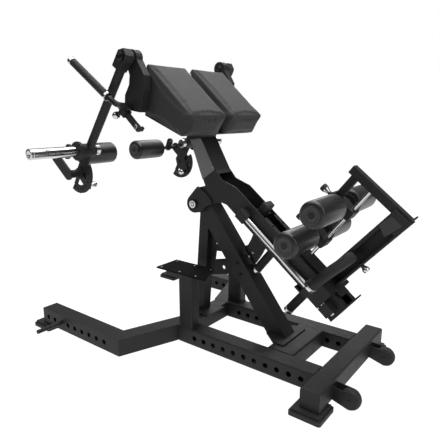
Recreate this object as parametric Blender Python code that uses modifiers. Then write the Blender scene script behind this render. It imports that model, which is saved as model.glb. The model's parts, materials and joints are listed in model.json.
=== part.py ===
"""Glute ham developer with plate-loaded swing arms.

A welded base carries a tilting beam. The beam holds two hip pads and a pair of swing arms at its
head, and a foot carriage with four ankle rollers slides along its rails.

Units are metres. X runs from the front feet to the transport wheels, Y runs across the machine and
Z is up. The origin is on the floor in the middle of the machine. Near means the -Y side.
"""
import math

import bmesh
import bpy
from mathutils import Matrix, Vector

NAME = "glute_ham_developer"
GAP = 0.0003            # between touching pieces
PLAY = 0.0006           # around a sliding or turning fit
ROLLER_SIDES = 18       # sides of a foam roller
ROUND_SIDES = 14        # sides of any other turned piece
HOLE_SIDES = 8          # sides of a drilled hole
FLATNESS = math.radians(0.05)   # faces that meet flatter than this are one face
SIDES = {"near": -1, "far": 1}

# Base tubes and feet
TUBE = 0.080
TUBE_WALL = 0.004
TUBE_CORNER = 0.006
FOOT_HEIGHT = 0.0275
BASE_WIDTH = 0.440
RAIL_FRONT_X = -0.136
RAIL_REAR_X = 0.600
RAIL_HOLES = 11
RAIL_HOLE_START_X = -0.003
HOLE_PITCH = 0.055
HOLE_DIAMETER = 0.025
CROSSBAR_LENGTH = 0.660
FRONT_CROSS_X = (-0.158, -0.078)
MID_CROSS_X = (0.345, 0.470)
OUTRIGGER_SPREAD = 0.910        # between the outrigger centre lines
OUTRIGGER_SPLAY = math.radians(20.3)
OUTRIGGER_END_X = -0.795
OUTRIGGER_HOLES = 9
OUTRIGGER_HOLE_START_X = -0.751
PEG_HOLE_INDEX = 2              # the hole that the storage peg takes
PEG_DIAMETER = 0.020
PEG_LENGTH = 0.130
FOOT_PLATE = 0.011
FOOT_REAR_SIZE = (0.131, 0.126)
FOOT_FRONT_SIZE = (0.129, 0.105)
FOOT_LEDGE = 0.009
REAR_FOOT_X = 0.633
REAR_FOOT_Y = 0.298
FRONT_FOOT_X = -0.7915
WHEEL_DIAMETER = 0.084
WHEEL_WIDTH = 0.036
WHEEL_REACH = 0.0625            # from the crossbar face to the axle
WHEEL_HEIGHT = 0.0473
WHEEL_Y = 0.196
WHEEL_AXLE = 0.012
WHEEL_BRACKET = 0.004
WHEEL_BRACKET_RADIUS = 0.034
BRACKET_WALL = Vector((0.008, -0.006))      # of the wall that closes the bracket's front and foot

# Step
STEP_POST_X = -0.055
STEP_TOP = 0.3707
STEP_PLATE = 0.0066
STEP_FRONT_X = -0.2365
STEP_INNER_Y = 0.077
STEP_POST_WIDTH = 0.055
STEP_CAP_LIP = 0.005            # of the far post's cap past the post

# A-frame
UPRIGHT = 0.055
UPRIGHT_FOOT_X = -0.135
UPRIGHT_TOP = (-0.091, 0.6435)
BRACE_FOOT_X = 0.332
BRACE_LEAN = math.radians(37.4)
BRACE_PAST_PIVOT = 0.012
FLANGE = 0.006
WEB = 0.008                         # plate between the upright and the brace
WEB_LOW = 0.302                     # its lowest point, on the upright
WEB_RISE = math.radians(13.0)       # slope of its lower edge and of its window's sill
WEB_WINDOW = ((-0.0484, 0.3895), (0.0193, 0.4050), (-0.0039, 0.4370), (-0.0416, 0.4340))
WEB_HOLES = ((-0.0385, 0.4728, 0.013), (0.0035, 0.3586, 0.020))     # x, z, diameter
HEAD_RADIUS = 0.046
HEAD_WIDTH = 0.090

# Main pivot and beam. Beam pieces are laid out along the beam, up from the pivot, in its own frame.
PIVOT_X = -0.1297
PIVOT_Z = 0.6655
PIVOT_DIAMETER = 0.030
PIVOT_HEAD_DIAMETER = 0.044
PIVOT_HEAD = 0.008
BEAM_SLOPE = math.radians(38.5)
BEAM_WIDTH = 0.110
BEAM_PLATE = 0.006
BEAM_BOTTOM = 0.130
BEAM_TOP = 0.227
BEAM_LENGTH = 0.814
BEAM_END_TOP = 0.256
BEAM_LIP = 0.020
BEAM_LIP_START = 0.315
NECK_TOP_REAR = (-0.211, 0.220)
NECK_TOP_FRONT = (-0.163, 0.272)
EAR_BLOCK = 0.010
EAR_RADIUS = 0.0435
NECK_INSET = 0.0008              # of the neck's front and back walls from the edges of its side plates
NAME_PLATE = 0.0025
SELECTOR_RADIUS = 0.351
SELECTOR_BAND = (0.322, 0.4035)
SELECTOR_PLATE = 0.008
SELECTOR_STEP = math.radians(4.5)
SELECTOR_HOLES = 4
SELECTOR_PIN = 0.012
SELECTOR_LUG = 0.012
SELECTOR_LUG_LENGTH = 0.088
GUIDE_ROD_DIAMETER = 0.028
GUIDE_ROD_Y = 0.0700
GUIDE_ROD_HEIGHT = 0.168
GUIDE_ROD_PLACES = (0.240, 0.770)       # middles of the two end blocks
GUIDE_BLOCK_LENGTH = 0.050
GRIP_DIAMETER = 0.042
BEAM_GRIP_TIP = -0.026          # heights of the grips' ends in the beam's frame
CARRIAGE_GRIP_TIP = -0.037
GRIP_ROUND = 0.004
GRIP_STEM_DIAMETER = 0.030
GRIP_STEM = 0.016
BEAM_GRIP_PLACE = 0.427
CARRIAGE_GRIP_PLACE = 0.655
BUMPER_PLACE = 0.275
BUMPER_SIZE = (0.032, 0.060, 0.049)
BUMPER_SUNK = 0.012             # of the bumper below the beam's top edge

# Foot carriage, in the beam's frame
CARRIAGE_PLATE = 0.008
CARRIAGE_START = 0.460
CARRIAGE_END = 0.770
CARRIAGE_SIDE_START = 0.646
CARRIAGE_SIDE_END = 0.742
CARRIAGE_FLOOR_PLACES = (0.612, 0.678)
CARRIAGE_STRAP_Y = (0.058, 0.070)       # of the straps that carry the floor under the beam
CARRIAGE_HOUSING = 0.022                # half the height of the housing round a guide rod
CARRIAGE_CLEAR = 0.003          # between the carriage and the beam
FOOT_ARM_PLACE = 0.649
FOOT_ARM_DEPTH = 0.078
FOOT_ARM_WIDTH = 0.055
FOOT_ARM_WALL = 0.008
FOOT_ARM_FRONT = 0.016
FOOT_ARM_CLOSED = 0.566         # height above which the channel is closed
FOOT_ARM_TOP = 0.640
FOOT_ARM_LEAN = math.radians(3.2)
FOOT_TUBE_DIAMETER = 0.044
FOOT_TUBE_LENGTH = 0.330
FOOT_TUBE_PLACE = (0.664, 0.240)
TOP_BAR = 0.033
TOP_BAR_BOTTOM = 0.616
TOP_BAR_START = 0.450
TOP_BAR_END = 0.743
STRUT_PLACE = 0.467
STRUT_THICK = 0.030
STRUT_WIDTH = 0.024
STRUT_HOLE = 0.010
SLIDE_ROD_PLACE = 0.559
SLIDE_ROD_DIAMETER = 0.016
BLOCK_HEIGHT = 0.044
BLOCK_WIDTH = 0.060
BLOCK_WALL = 0.012
ROLLER_PLACE = 0.512
ROLLER_HEIGHTS = {"lower": 0.332, "upper": 0.497}
ROLLER_DIAMETER = 0.107
ROLLER_LENGTH = 0.205
ROLLER_INNER_Y = 0.060
ROLLER_BORE = 0.021
AXLE_DIAMETER = 0.020
CAP_DIAMETER = 0.072
CAP_PROUD = 0.006
PIN_DIAMETER = 0.008
PIN_BODY_DIAMETER = 0.018
PIN_BODY_LENGTH = 0.016
FOOT_PIN_BODY = 0.004
PIN_KNOB_DIAMETER = 0.030
PIN_KNOB_LENGTH = 0.026
FOOT_PIN_HEIGHT = 0.378

# Pads and pad frame, in the machine's frame
PAD_INNER_Y = 0.025
PAD_OUTER_Y = 0.266
PAD_CORNERS = ((-0.238, 1.0815), (-0.0187, 0.9935), (0.0412, 1.0751), (-0.209, 1.288))
PAD_CROWN = 0.008
PAD_DRAW_IN = 0.004
SADDLE = 0.006
CROSS_TUBE = 0.040
CROSS_TUBE_X = -0.2545
CROSS_TUBE_Z = 1.148
BACK_PLATE = 0.110               # how far the plate behind the pads reaches up them
BRACKET_PLATE = 0.008
BRACKET_Y = (0.284, 0.312)
BRACKET_RADIUS = 0.034
ARM_HINGE_X = -0.2442
ARM_HINGE_Z = 1.3134
ARM_SHAFT = 0.025
RACK_BAR = 0.020
RACK_SLOPE = math.radians(41.4)
RACK_LENGTH = 0.150
RACK_MIDDLE = (-0.243, 1.0665)
RACK_Y = 0.341
CLAMP_LENGTH = 0.040
CLAMP_WALL = 0.006
HAND_GRIP_DIAMETER = 0.033
HAND_GRIP_TUBE = 0.025
HAND_GRIP_Y = 0.407
HAND_GRIP_ROOT = (-0.3000, 1.1527)
HAND_GRIP_END = (-0.5375, 1.3170)

# Swing arms, in the frame of the hanging arm: Z runs up the arm to its hinge
ARM_LEAN = math.radians(35.8)
ARM_LENGTH = 0.488
ARM_DIAMETER = 0.040
ARM_Y = 0.348
ARM_HUB_DIAMETER = 0.056
ARM_HUB_Y = (0.324, 0.376)
HUB_BLOCK = ((-0.030, -0.060), (0.022, -0.060), (0.031, -0.010), (0.024, 0.020), (-0.006, 0.034), (-0.030, 0.012))
HUB_BLOCK_Y = (0.334, 0.374)
END_PLATE = 0.009
END_PLATE_WIDTH = 0.060
SLEEVE_DIAMETER = 0.048
SLEEVE_TIP_Y = 0.652
SLEEVE_INNER_Y = 0.295
SLEEVE_COLLAR_DIAMETER = 0.088
SLEEVE_COLLAR_Y = 0.402
SLEEVE_COLLAR = 0.014
ROLLER_PIVOT = (0.010, -0.618)
ROLLER_PIVOT_DIAMETER = 0.020
QUADRANT_RADIUS = 0.097
QUADRANT_HOLE_RADIUS = 0.0735
QUADRANT_HOLE_STEP = math.radians(17.0)
QUADRANT_PLATE = 0.008
QUADRANT_Y = 0.359
QUADRANT_HUB = 0.052
QUADRANT_SPOKE = 0.022
PIVOT_TUBE = 0.038
ANGLE_PIN_ANGLE = math.radians(-12.9)
ANGLE_PIN_KNOB_Y = 0.280
ROLLER_ARM = 0.122
ROLLER_ARM_ANGLE = math.radians(175.3)
ROLLER_ARM_BAR = 0.009
ROLLER_ARM_Y = 0.4165
ROLLER_ARM_WIDTH = 0.054
ARM_ROLLER_INNER_Y = 0.076
EYE_LUG = (-0.131, 0.0505)
EYE_LUG_DIAMETER = 0.036
EYE_LUG_HOLE = 0.016

# Places that follow from the values above
RAIL_Y = (BASE_WIDTH - TUBE) / 2
TUBE_TOP = FOOT_HEIGHT + TUBE
TUBE_MIDDLE = FOOT_HEIGHT + TUBE / 2
OUTRIGGER_Y = OUTRIGGER_SPREAD / 2
OUTRIGGER_CORNER_X = RAIL_FRONT_X - (OUTRIGGER_Y - RAIL_Y) * math.tan(OUTRIGGER_SPLAY)
CROSSBAR_REAR_X = RAIL_REAR_X + TUBE
PIVOT = Vector((PIVOT_X, 0.0, PIVOT_Z))
BEAM_FRAME = Matrix.Translation(PIVOT) @ Matrix.Rotation(BEAM_SLOPE, 4, 'Y')
BRACE_UP = Vector((-math.sin(BRACE_LEAN), 0.0, math.cos(BRACE_LEAN)))
BRACE_FOOT = Vector((BRACE_FOOT_X, 0.0, TUBE_TOP))
SIDE_PLATE_Y = BEAM_WIDTH / 2
EAR_FACE_Y = SIDE_PLATE_Y + EAR_BLOCK
CARRIAGE_FLOOR = BEAM_BOTTOM - 0.012        # underside of the plate that joins the carriage's sides
CARRIAGE_BASE = BEAM_TOP + CARRIAGE_CLEAR
STRUT_BOTTOM = CARRIAGE_BASE + CARRIAGE_PLATE
QUADRANT_INNER = QUADRANT_HOLE_RADIUS - 0.015


def clear_scene():
    """Removes what the file starts with."""
    for old in list(bpy.data.objects):
        bpy.data.objects.remove(old, do_unlink=True)
    for old in list(bpy.data.collections):
        bpy.data.collections.remove(old)


clear_scene()
PARTS = bpy.data.collections.new(NAME)
BENCH = bpy.data.collections.new("bench")
for group in (PARTS, BENCH):
    bpy.context.scene.collection.children.link(group)


# Shapes: each function returns one closed solid on the bench

def from_bmesh(bm):
    """Puts a bmesh on the bench as an object."""
    mesh = bpy.data.meshes.new("solid")
    bm.to_mesh(mesh)
    bm.free()
    solid = bpy.data.objects.new("solid", mesh)
    BENCH.objects.link(solid)
    return solid


def to_solid(shape):
    """Turns a curve, or an object with modifiers, into a welded mesh at the bench's origin."""
    evaluated = shape.evaluated_get(bpy.context.evaluated_depsgraph_get())
    mesh = bpy.data.meshes.new_from_object(evaluated)
    mesh.transform(shape.matrix_world)
    bpy.data.objects.remove(shape, do_unlink=True)
    bm = bmesh.new()
    bm.from_mesh(mesh)
    bmesh.ops.remove_doubles(bm, verts=bm.verts, dist=0.000002)
    return from_bmesh(bm)


def box(low, high, corner=0.0, along=None):
    """A box between two corners; the edges along one axis (0, 1 or 2) can be rounded."""
    low, high = Vector(low), Vector(high)
    size = high - low
    bm = bmesh.new()
    shape = Matrix.Translation((low + high) / 2) @ Matrix.Diagonal((*size, 1.0))
    bmesh.ops.create_cube(bm, size=1.0, matrix=shape)
    if corner:
        others = [axis for axis in range(3) if axis != along]
        edges = []
        for edge in bm.edges:
            run = edge.verts[1].co - edge.verts[0].co
            if all(abs(run[axis]) < 1e-6 for axis in others):
                edges.append(edge)
        bmesh.ops.bevel(bm, geom=edges, offset=corner, segments=2, profile=0.5, affect='EDGES')
    return from_bmesh(bm)


def rod(start, end, radius, sides=ROUND_SIDES, tip=None):
    """A cylinder between two points, or a cone where the tip has its own radius."""
    start, end = Vector(start), Vector(end)
    axis = end - start
    turn = axis.to_track_quat('Z', 'Y').to_matrix().to_4x4()
    place = Matrix.Translation((start + end) / 2) @ turn
    bm = bmesh.new()
    bmesh.ops.create_cone(bm, cap_ends=True, segments=sides, radius1=radius,
                          radius2=radius if tip is None else tip, depth=axis.length, matrix=place)
    return from_bmesh(bm)


def bore_radius(radius, sides=ROUND_SIDES):
    """The corner radius of a drill whose flats clear a shaft of this radius."""
    return radius / math.cos(math.pi / sides)


def bar(start, end, depth, width):
    """A rectangular bar between two points of an XZ plane, with its width along Y."""
    start, end = Vector(start), Vector(end)
    up = (end - start).normalized()
    across = Vector((0.0, 1.0, 0.0))
    turn = Matrix((across.cross(up), across, up)).transposed().to_4x4()
    shape = Matrix.Translation((start + end) / 2) @ turn
    bm = bmesh.new()
    size = Matrix.Diagonal((depth, width, (end - start).length, 1.0))
    bmesh.ops.create_cube(bm, size=1.0, matrix=shape @ size)
    return from_bmesh(bm)


def circle(centre, radius, sides=HOLE_SIDES):
    """Points round a circle."""
    return arc(centre, radius, 0.0, math.tau * (sides - 1) / sides, sides - 1)


def arc(centre, radius, start, end, steps):
    """Points along an arc between two angles, both ends included."""
    points = []
    for index in range(steps + 1):
        angle = start + (end - start) * index / steps
        points.append((centre[0] + radius * math.cos(angle), centre[1] + radius * math.sin(angle)))
    return points


def plate(outline, low, high, holes=(), lying=False):
    """A flat plate from its outline in XZ, or in XY when lying, and its reach along the other axis."""
    curve = bpy.data.curves.new("outline", 'CURVE')
    curve.dimensions = '2D'
    curve.fill_mode = 'BOTH'
    curve.extrude = (high - low) / 2
    for points in (outline, *holes):
        spline = curve.splines.new('POLY')
        spline.points.add(len(points) - 1)
        for point, (first, second) in zip(spline.points, points):
            point.co = (first, second, 0.0, 1.0)
        spline.use_cyclic_u = True
    shape = bpy.data.objects.new("outline", curve)
    BENCH.objects.link(shape)
    middle = (low + high) / 2
    if lying:
        shape.matrix_world = Matrix.Translation((0.0, 0.0, middle))
    else:
        shape.matrix_world = Matrix.Translation((0.0, middle, 0.0)) @ Matrix.Rotation(math.pi / 2, 4, 'X')
    return to_solid(shape)


def stadium(first, second, radius, low, high, steps=6):
    """A flat bar with round ends about two points (x, z), between two values of Y."""
    run = Vector((second[0] - first[0], second[1] - first[1]))
    heading = math.atan2(run.y, run.x)
    outline = arc(second, radius, heading - math.pi / 2, heading + math.pi / 2, steps)
    outline += arc(first, radius, heading + math.pi / 2, heading + 3 * math.pi / 2, steps)
    return plate(outline, low, high)


def turned(profile, base, axis, steps=ROUND_SIDES):
    """A solid turned about an axis from base, its profile (radius, height) running from top to bottom."""
    mesh = bpy.data.meshes.new("profile")
    edges = [(index, index + 1) for index in range(len(profile) - 1)]
    mesh.from_pydata([(radius, 0.0, height) for radius, height in profile], edges, [])
    shape = bpy.data.objects.new("profile", mesh)
    BENCH.objects.link(shape)
    screw = shape.modifiers.new("turn", 'SCREW')
    screw.steps = steps
    screw.render_steps = steps
    screw.use_merge_vertices = True
    screw.merge_threshold = 0.00001
    turn = Vector(axis).to_track_quat('Z', 'Y').to_matrix().to_4x4()
    shape.matrix_world = Matrix.Translation(base) @ turn
    return to_solid(shape)


def pipe(points, radius):
    """A round tube along a poly line, with filled ends."""
    curve = bpy.data.curves.new("pipe", 'CURVE')
    curve.dimensions = '3D'
    curve.bevel_depth = radius
    curve.bevel_resolution = 1
    curve.use_fill_caps = True
    spline = curve.splines.new('POLY')
    spline.points.add(len(points) - 1)
    for point, place in zip(spline.points, points):
        point.co = (*place, 1.0)
    shape = bpy.data.objects.new("pipe", curve)
    BENCH.objects.link(shape)
    return to_solid(shape)


def boolean(solid, tools, operation):
    """Joins tools to a solid or cuts them from it, one by one, and takes the tools off the bench."""
    for tool in tools:
        step = solid.modifiers.new("step", 'BOOLEAN')
        step.operation = operation
        step.solver = 'EXACT'
        step.object = tool
        tool.display_type = 'WIRE'
        tool.hide_render = True
        bpy.context.view_layer.update()
        solid = to_solid(solid)
        bpy.data.objects.remove(tool, do_unlink=True)
    return solid


def weld(solid, *tools):
    """Joins solids into one."""
    return boolean(solid, tools, 'UNION')


def cut(solid, *tools):
    """Cuts solids from the first one."""
    return boolean(solid, tools, 'DIFFERENCE')


# Finishes: colour, roughness, metallic

POWDER = ((0.030, 0.031, 0.033), 0.50, 0.2)
VINYL = ((0.065, 0.066, 0.068), 0.55, 0.0)
FOAM = ((0.020, 0.020, 0.021), 0.70, 0.0)
RUBBER = ((0.018, 0.018, 0.018), 0.75, 0.0)
PLASTIC = ((0.025, 0.025, 0.026), 0.40, 0.0)
CHROME = ((0.550, 0.550, 0.560), 0.15, 1.0)
STEEL = ((0.400, 0.400, 0.410), 0.35, 1.0)
GREY = ((0.160, 0.160, 0.165), 0.45, 0.3)
GRIP = ((0.040, 0.040, 0.042), 0.55, 0.4)


def node(name, solid, finish, parent=None, origin=(0.0, 0.0, 0.0)):
    """Names a finished piece, gives it its material and hangs it on its parent at its origin."""
    bm = bmesh.new()
    bm.from_mesh(solid.data)
    bmesh.ops.dissolve_limit(bm, angle_limit=FLATNESS, verts=bm.verts, edges=bm.edges)
    bm.to_mesh(solid.data)
    bm.free()
    solid.name = name
    solid.data.name = name
    solid.data.transform(Matrix.Translation(-Vector(origin)))
    solid.data.shade_smooth()
    solid.data.set_sharp_from_angle(angle=math.radians(35.0))
    colour, roughness, metallic = finish
    material = bpy.data.materials.new(name)
    material.use_nodes = True
    shader = material.node_tree.nodes["Principled BSDF"]
    shader.inputs["Base Color"].default_value = (*colour, 1.0)
    shader.inputs["Roughness"].default_value = roughness
    shader.inputs["Metallic"].default_value = metallic
    solid.data.materials.clear()
    solid.data.materials.append(material)
    solid.parent = parent
    solid.location = origin
    BENCH.objects.unlink(solid)
    PARTS.objects.link(solid)
    return solid


def joint(name, parent=None, place=Matrix.Identity(4)):
    """An empty that marks a joint, placed in its parent's frame."""
    empty = bpy.data.objects.new(name, None)
    empty.empty_display_size = 0.05
    empty.parent = parent
    empty.matrix_local = place
    PARTS.objects.link(empty)
    return empty


def span(side, inner, outer):
    """The lowest and highest Y of something that reaches from inner to outer on one side."""
    return sorted((side * inner, side * outer))


def mirrored(points, side):
    """An outline drawn for the far side, moved to the asked side."""
    return [(first, second * side) for first, second in points]


def base_tube(low, high, along):
    """A hollow square tube between two corners, open at both ends of its long axis."""
    solid = box(low, high, TUBE_CORNER, along)
    inner_low = [value + TUBE_WALL for value in low]
    inner_high = [value - TUBE_WALL for value in high]
    inner_low[along] = low[along] - TUBE_WALL
    inner_high[along] = high[along] + TUBE_WALL
    return cut(solid, box(inner_low, inner_high))


def cross_holes(first_x, count, y_low, y_high, skipped=()):
    """Drills for a row of holes across a base tube."""
    drills = []
    for index in range(count):
        if index not in skipped:
            x = first_x + index * HOLE_PITCH
            drills.append(rod((x, y_low, TUBE_MIDDLE), (x, y_high, TUBE_MIDDLE), HOLE_DIAMETER / 2, HOLE_SIDES))
    return drills


# Base

def mitre_offset(half_width):
    """How far along X a mitred corner of the outrigger moves for a point off its centre line."""
    return half_width * math.tan((math.pi / 2 - OUTRIGGER_SPLAY) / 2)


def outrigger_outline(half_width):
    """The outline of one outrigger in plan on the far side, for a band round its centre line."""
    step = mitre_offset(half_width)
    outer = [(RAIL_FRONT_X + step, RAIL_Y + half_width),
             (OUTRIGGER_CORNER_X + step, OUTRIGGER_Y + half_width),
             (OUTRIGGER_END_X, OUTRIGGER_Y + half_width)]
    inner = [(OUTRIGGER_END_X, OUTRIGGER_Y - half_width),
             (OUTRIGGER_CORNER_X - step, OUTRIGGER_Y - half_width),
             (RAIL_FRONT_X - step, RAIL_Y - half_width)]
    return outer + inner


def make_rail(label, side):
    """A side rail, mitred at the front where its outrigger starts, drilled right across."""
    y_low, y_high = span(side, RAIL_Y - TUBE / 2, RAIL_Y + TUBE / 2)
    reach = mitre_offset(TUBE / 2)
    front = RAIL_FRONT_X - reach
    solid = base_tube((front, y_low, FOOT_HEIGHT), (RAIL_REAR_X - GAP, y_high, TUBE_TOP), 0)
    corner = [(front - TUBE, RAIL_Y + TUBE), (front - TUBE, RAIL_Y - TUBE / 2 - TUBE_WALL)]
    past = TUBE / 2 + TUBE_WALL
    corner.append((RAIL_FRONT_X - mitre_offset(past) + GAP, RAIL_Y - past))
    corner.append((RAIL_FRONT_X + mitre_offset(TUBE) + GAP, RAIL_Y + TUBE))
    mitre = plate(mirrored(corner, side), 0.0, TUBE_TOP + TUBE, lying=True)
    drills = cross_holes(RAIL_HOLE_START_X, RAIL_HOLES, y_low - TUBE_WALL, y_high + TUBE_WALL)
    node(f"rail_{label}", cut(solid, mitre, *drills), POWDER)


def make_outrigger(label, side):
    """A bent outrigger tube with its storage peg."""
    solid = plate(mirrored(outrigger_outline(TUBE / 2), side), FOOT_HEIGHT, TUBE_TOP, lying=True)
    hollow = outrigger_outline(TUBE / 2 - TUBE_WALL)
    shift = TUBE_WALL
    hollow[2] = (OUTRIGGER_END_X + shift, hollow[2][1])
    hollow[3] = (OUTRIGGER_END_X + shift, hollow[3][1])
    hollow[0] = (hollow[0][0] + shift, hollow[0][1])
    hollow[5] = (hollow[5][0] + shift, hollow[5][1])
    inside = plate(mirrored(hollow, side), FOOT_HEIGHT + TUBE_WALL, TUBE_TOP - TUBE_WALL, lying=True)
    y_low, y_high = span(side, OUTRIGGER_Y - TUBE / 2 - TUBE_WALL, OUTRIGGER_Y + TUBE / 2 + TUBE_WALL)
    drills = cross_holes(OUTRIGGER_HOLE_START_X, OUTRIGGER_HOLES, y_low, y_high, (PEG_HOLE_INDEX,))
    solid = cut(solid, inside, *drills)
    peg_x = OUTRIGGER_HOLE_START_X + PEG_HOLE_INDEX * HOLE_PITCH
    peg_root = side * (OUTRIGGER_Y + TUBE / 2 - TUBE_WALL / 2)
    peg_end = side * (OUTRIGGER_Y + TUBE / 2 + PEG_LENGTH)
    peg = rod((peg_x, peg_root, TUBE_MIDDLE), (peg_x, peg_end, TUBE_MIDDLE), PEG_DIAMETER / 2)
    node(f"outrigger_{label}", weld(solid, peg), POWDER)


def make_foot(name, x, y, size):
    """A levelling foot: a steel plate on a wider rubber sole."""
    half_x, half_y = size[0] / 2, size[1] / 2
    split = FOOT_HEIGHT - FOOT_PLATE
    sole = box((x - half_x, y - half_y, 0.0), (x + half_x, y + half_y, split), FOOT_LEDGE, 2)
    top = box((x - half_x + FOOT_LEDGE, y - half_y + FOOT_LEDGE, split / 2),
              (x + half_x - FOOT_LEDGE, y + half_y - FOOT_LEDGE, FOOT_HEIGHT - GAP))
    node(name, weld(sole, top), RUBBER)


def make_rear_crossbar():
    """The rear crossbar with its welded wheel brackets and their axles."""
    half = CROSSBAR_LENGTH / 2
    solid = box((RAIL_REAR_X, -half, FOOT_HEIGHT), (CROSSBAR_REAR_X, half, TUBE_TOP), TUBE_CORNER, 1)
    pieces = []
    axle_x = CROSSBAR_REAR_X + WHEEL_REACH
    inset = TUBE_WALL
    for side in SIDES.values():
        for face in (-1, 1):
            inner = WHEEL_Y * side + face * (WHEEL_WIDTH / 2 + PLAY)
            outer = inner + face * WHEEL_BRACKET
            outline = arc((axle_x, WHEEL_HEIGHT), WHEEL_BRACKET_RADIUS, -math.pi / 2, math.pi / 2, 10)
            outline.append((CROSSBAR_REAR_X - inset, WHEEL_HEIGHT + WHEEL_BRACKET_RADIUS + inset))
            outline.append((CROSSBAR_REAR_X - inset, FOOT_HEIGHT + inset))
            pieces.append(plate(outline, *sorted((inner, outer))))
        reach = WHEEL_WIDTH / 2 + PLAY + WHEEL_BRACKET * 2
        pieces.append(rod((axle_x, WHEEL_Y * side - reach, WHEEL_HEIGHT),
                          (axle_x, WHEEL_Y * side + reach, WHEEL_HEIGHT), WHEEL_AXLE / 2, HOLE_SIDES))
    node("rear_crossbar", weld(solid, *pieces), POWDER)


def make_wheel(label, side):
    """A transport wheel, bored to turn on its axle."""
    radius, half = WHEEL_DIAMETER / 2, WHEEL_WIDTH / 2
    bore = WHEEL_AXLE / 2 + PLAY
    edge = 0.004
    profile = [(bore, half), (radius - edge, half), (radius, half - edge), (radius, edge - half),
               (radius - edge, -half), (bore, -half), (bore, half)]
    place = (CROSSBAR_REAR_X + WHEEL_REACH, WHEEL_Y * side, WHEEL_HEIGHT)
    node(f"wheel_{label}", turned(profile, place, (0, 1, 0)), RUBBER, origin=place)


def make_crossmember(name, reach_x):
    """A tube between the rails."""
    half = RAIL_Y - TUBE / 2 - GAP
    node(name, box((reach_x[0], -half, FOOT_HEIGHT), (reach_x[1], half, TUBE_TOP), TUBE_CORNER, 1), POWDER)


def make_step(label, side):
    """A post on the rail with its plate: a wide tread on the near side, a cap on the far side."""
    half = TUBE / 2
    top = STEP_TOP - STEP_PLATE
    outer = BASE_WIDTH / 2
    y_low, y_high = span(side, outer - STEP_POST_WIDTH, outer)
    post = box((STEP_POST_X - half, y_low, TUBE_TOP + GAP), (STEP_POST_X + half, y_high, top - GAP),
               TUBE_CORNER, 2)
    node(f"step_post_{label}", post, POWDER)
    if label == "near":
        rear = STEP_POST_X + half + 0.080
        outline = [(STEP_FRONT_X, STEP_INNER_Y), (STEP_FRONT_X, outer), (rear, outer),
                   (rear - 0.057, STEP_INNER_Y + 0.019), (rear - 0.067, STEP_INNER_Y)]
        node("step_tread", plate(mirrored(outline, side), top, STEP_TOP, lying=True), POWDER)
    else:
        reach = half + STEP_CAP_LIP
        node("step_cap", box((STEP_POST_X - reach, y_low - STEP_CAP_LIP, top),
                             (STEP_POST_X + reach, y_high, STEP_TOP)), POWDER)


# A-frame

def pin_place():
    """Where the tilt pin crosses the selector plate with the beam at rest."""
    return BEAM_FRAME @ Vector((SELECTOR_RADIUS, 0.0, 0.0))


def brace_top():
    """The top end of the brace's centre line, level with the pivot and a little past it."""
    along = (PIVOT - BRACE_FOOT).dot(BRACE_UP) + BRACE_PAST_PIVOT
    return BRACE_FOOT + BRACE_UP * along


def make_brace():
    """The main brace: foot flange, slot for the selector plate, pin lugs and the pivot head."""
    half = TUBE / 2
    foot = BRACE_FOOT - BRACE_UP * TUBE
    solid = bar(foot, brace_top(), TUBE, TUBE)
    below = box((-1.0, -1.0, -1.0), (1.0, 1.0, TUBE_TOP + GAP))
    head = rod((PIVOT_X, -HEAD_WIDTH / 2, PIVOT_Z), (PIVOT_X, HEAD_WIDTH / 2, PIVOT_Z), HEAD_RADIUS)
    edge_x = BRACE_FOOT_X - half / math.cos(BRACE_LEAN)
    flange_end = MID_CROSS_X[0] + 0.055
    flange = [(edge_x - FLANGE, half), (MID_CROSS_X[0], 0.100), (flange_end, 0.100),
              (flange_end, -0.100), (MID_CROSS_X[0], -0.100), (edge_x - FLANGE, -half)]
    base = plate(flange, TUBE_TOP + GAP, TUBE_TOP + GAP + FLANGE, lying=True)
    solid = weld(cut(solid, below), head, base)
    pin = pin_place()
    lugs = []
    slot = SELECTOR_PLATE / 2 + PLAY
    square = Vector((BRACE_UP.z, 0.0, -BRACE_UP.x))
    root = pin - square * (pin - BRACE_FOOT).dot(square)
    half_lug, lip = BRACE_UP * SELECTOR_LUG_LENGTH / 2, square * SELECTOR_PIN
    corners = (pin + lip + half_lug, pin + lip - half_lug, root - half_lug, root + half_lug)
    outline = [(corner.x, corner.z) for corner in corners]
    for side in SIDES.values():
        lugs.append(plate(outline, *span(side, slot - GAP, slot + SELECTOR_LUG)))
    solid = weld(solid, *lugs)
    steps = 6
    outer = arc((0, 0), SELECTOR_BAND[1] + FLANGE, -0.60, 0.10, steps)
    inner = arc((0, 0), SELECTOR_BAND[0] - FLANGE, 0.10, -0.60, steps)
    channel = plate(outer + inner, -slot, slot)
    channel.data.transform(BEAM_FRAME)
    bore = rod((PIVOT_X, -HEAD_WIDTH, PIVOT_Z), (PIVOT_X, HEAD_WIDTH, PIVOT_Z), PIVOT_DIAMETER / 2 + PLAY)
    pin_bore = rod((pin.x, -half, pin.z), (pin.x, half, pin.z), SELECTOR_PIN / 2 + PLAY, HOLE_SIDES)
    node("brace", cut(solid, channel, bore, pin_bore), POWDER)


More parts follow.
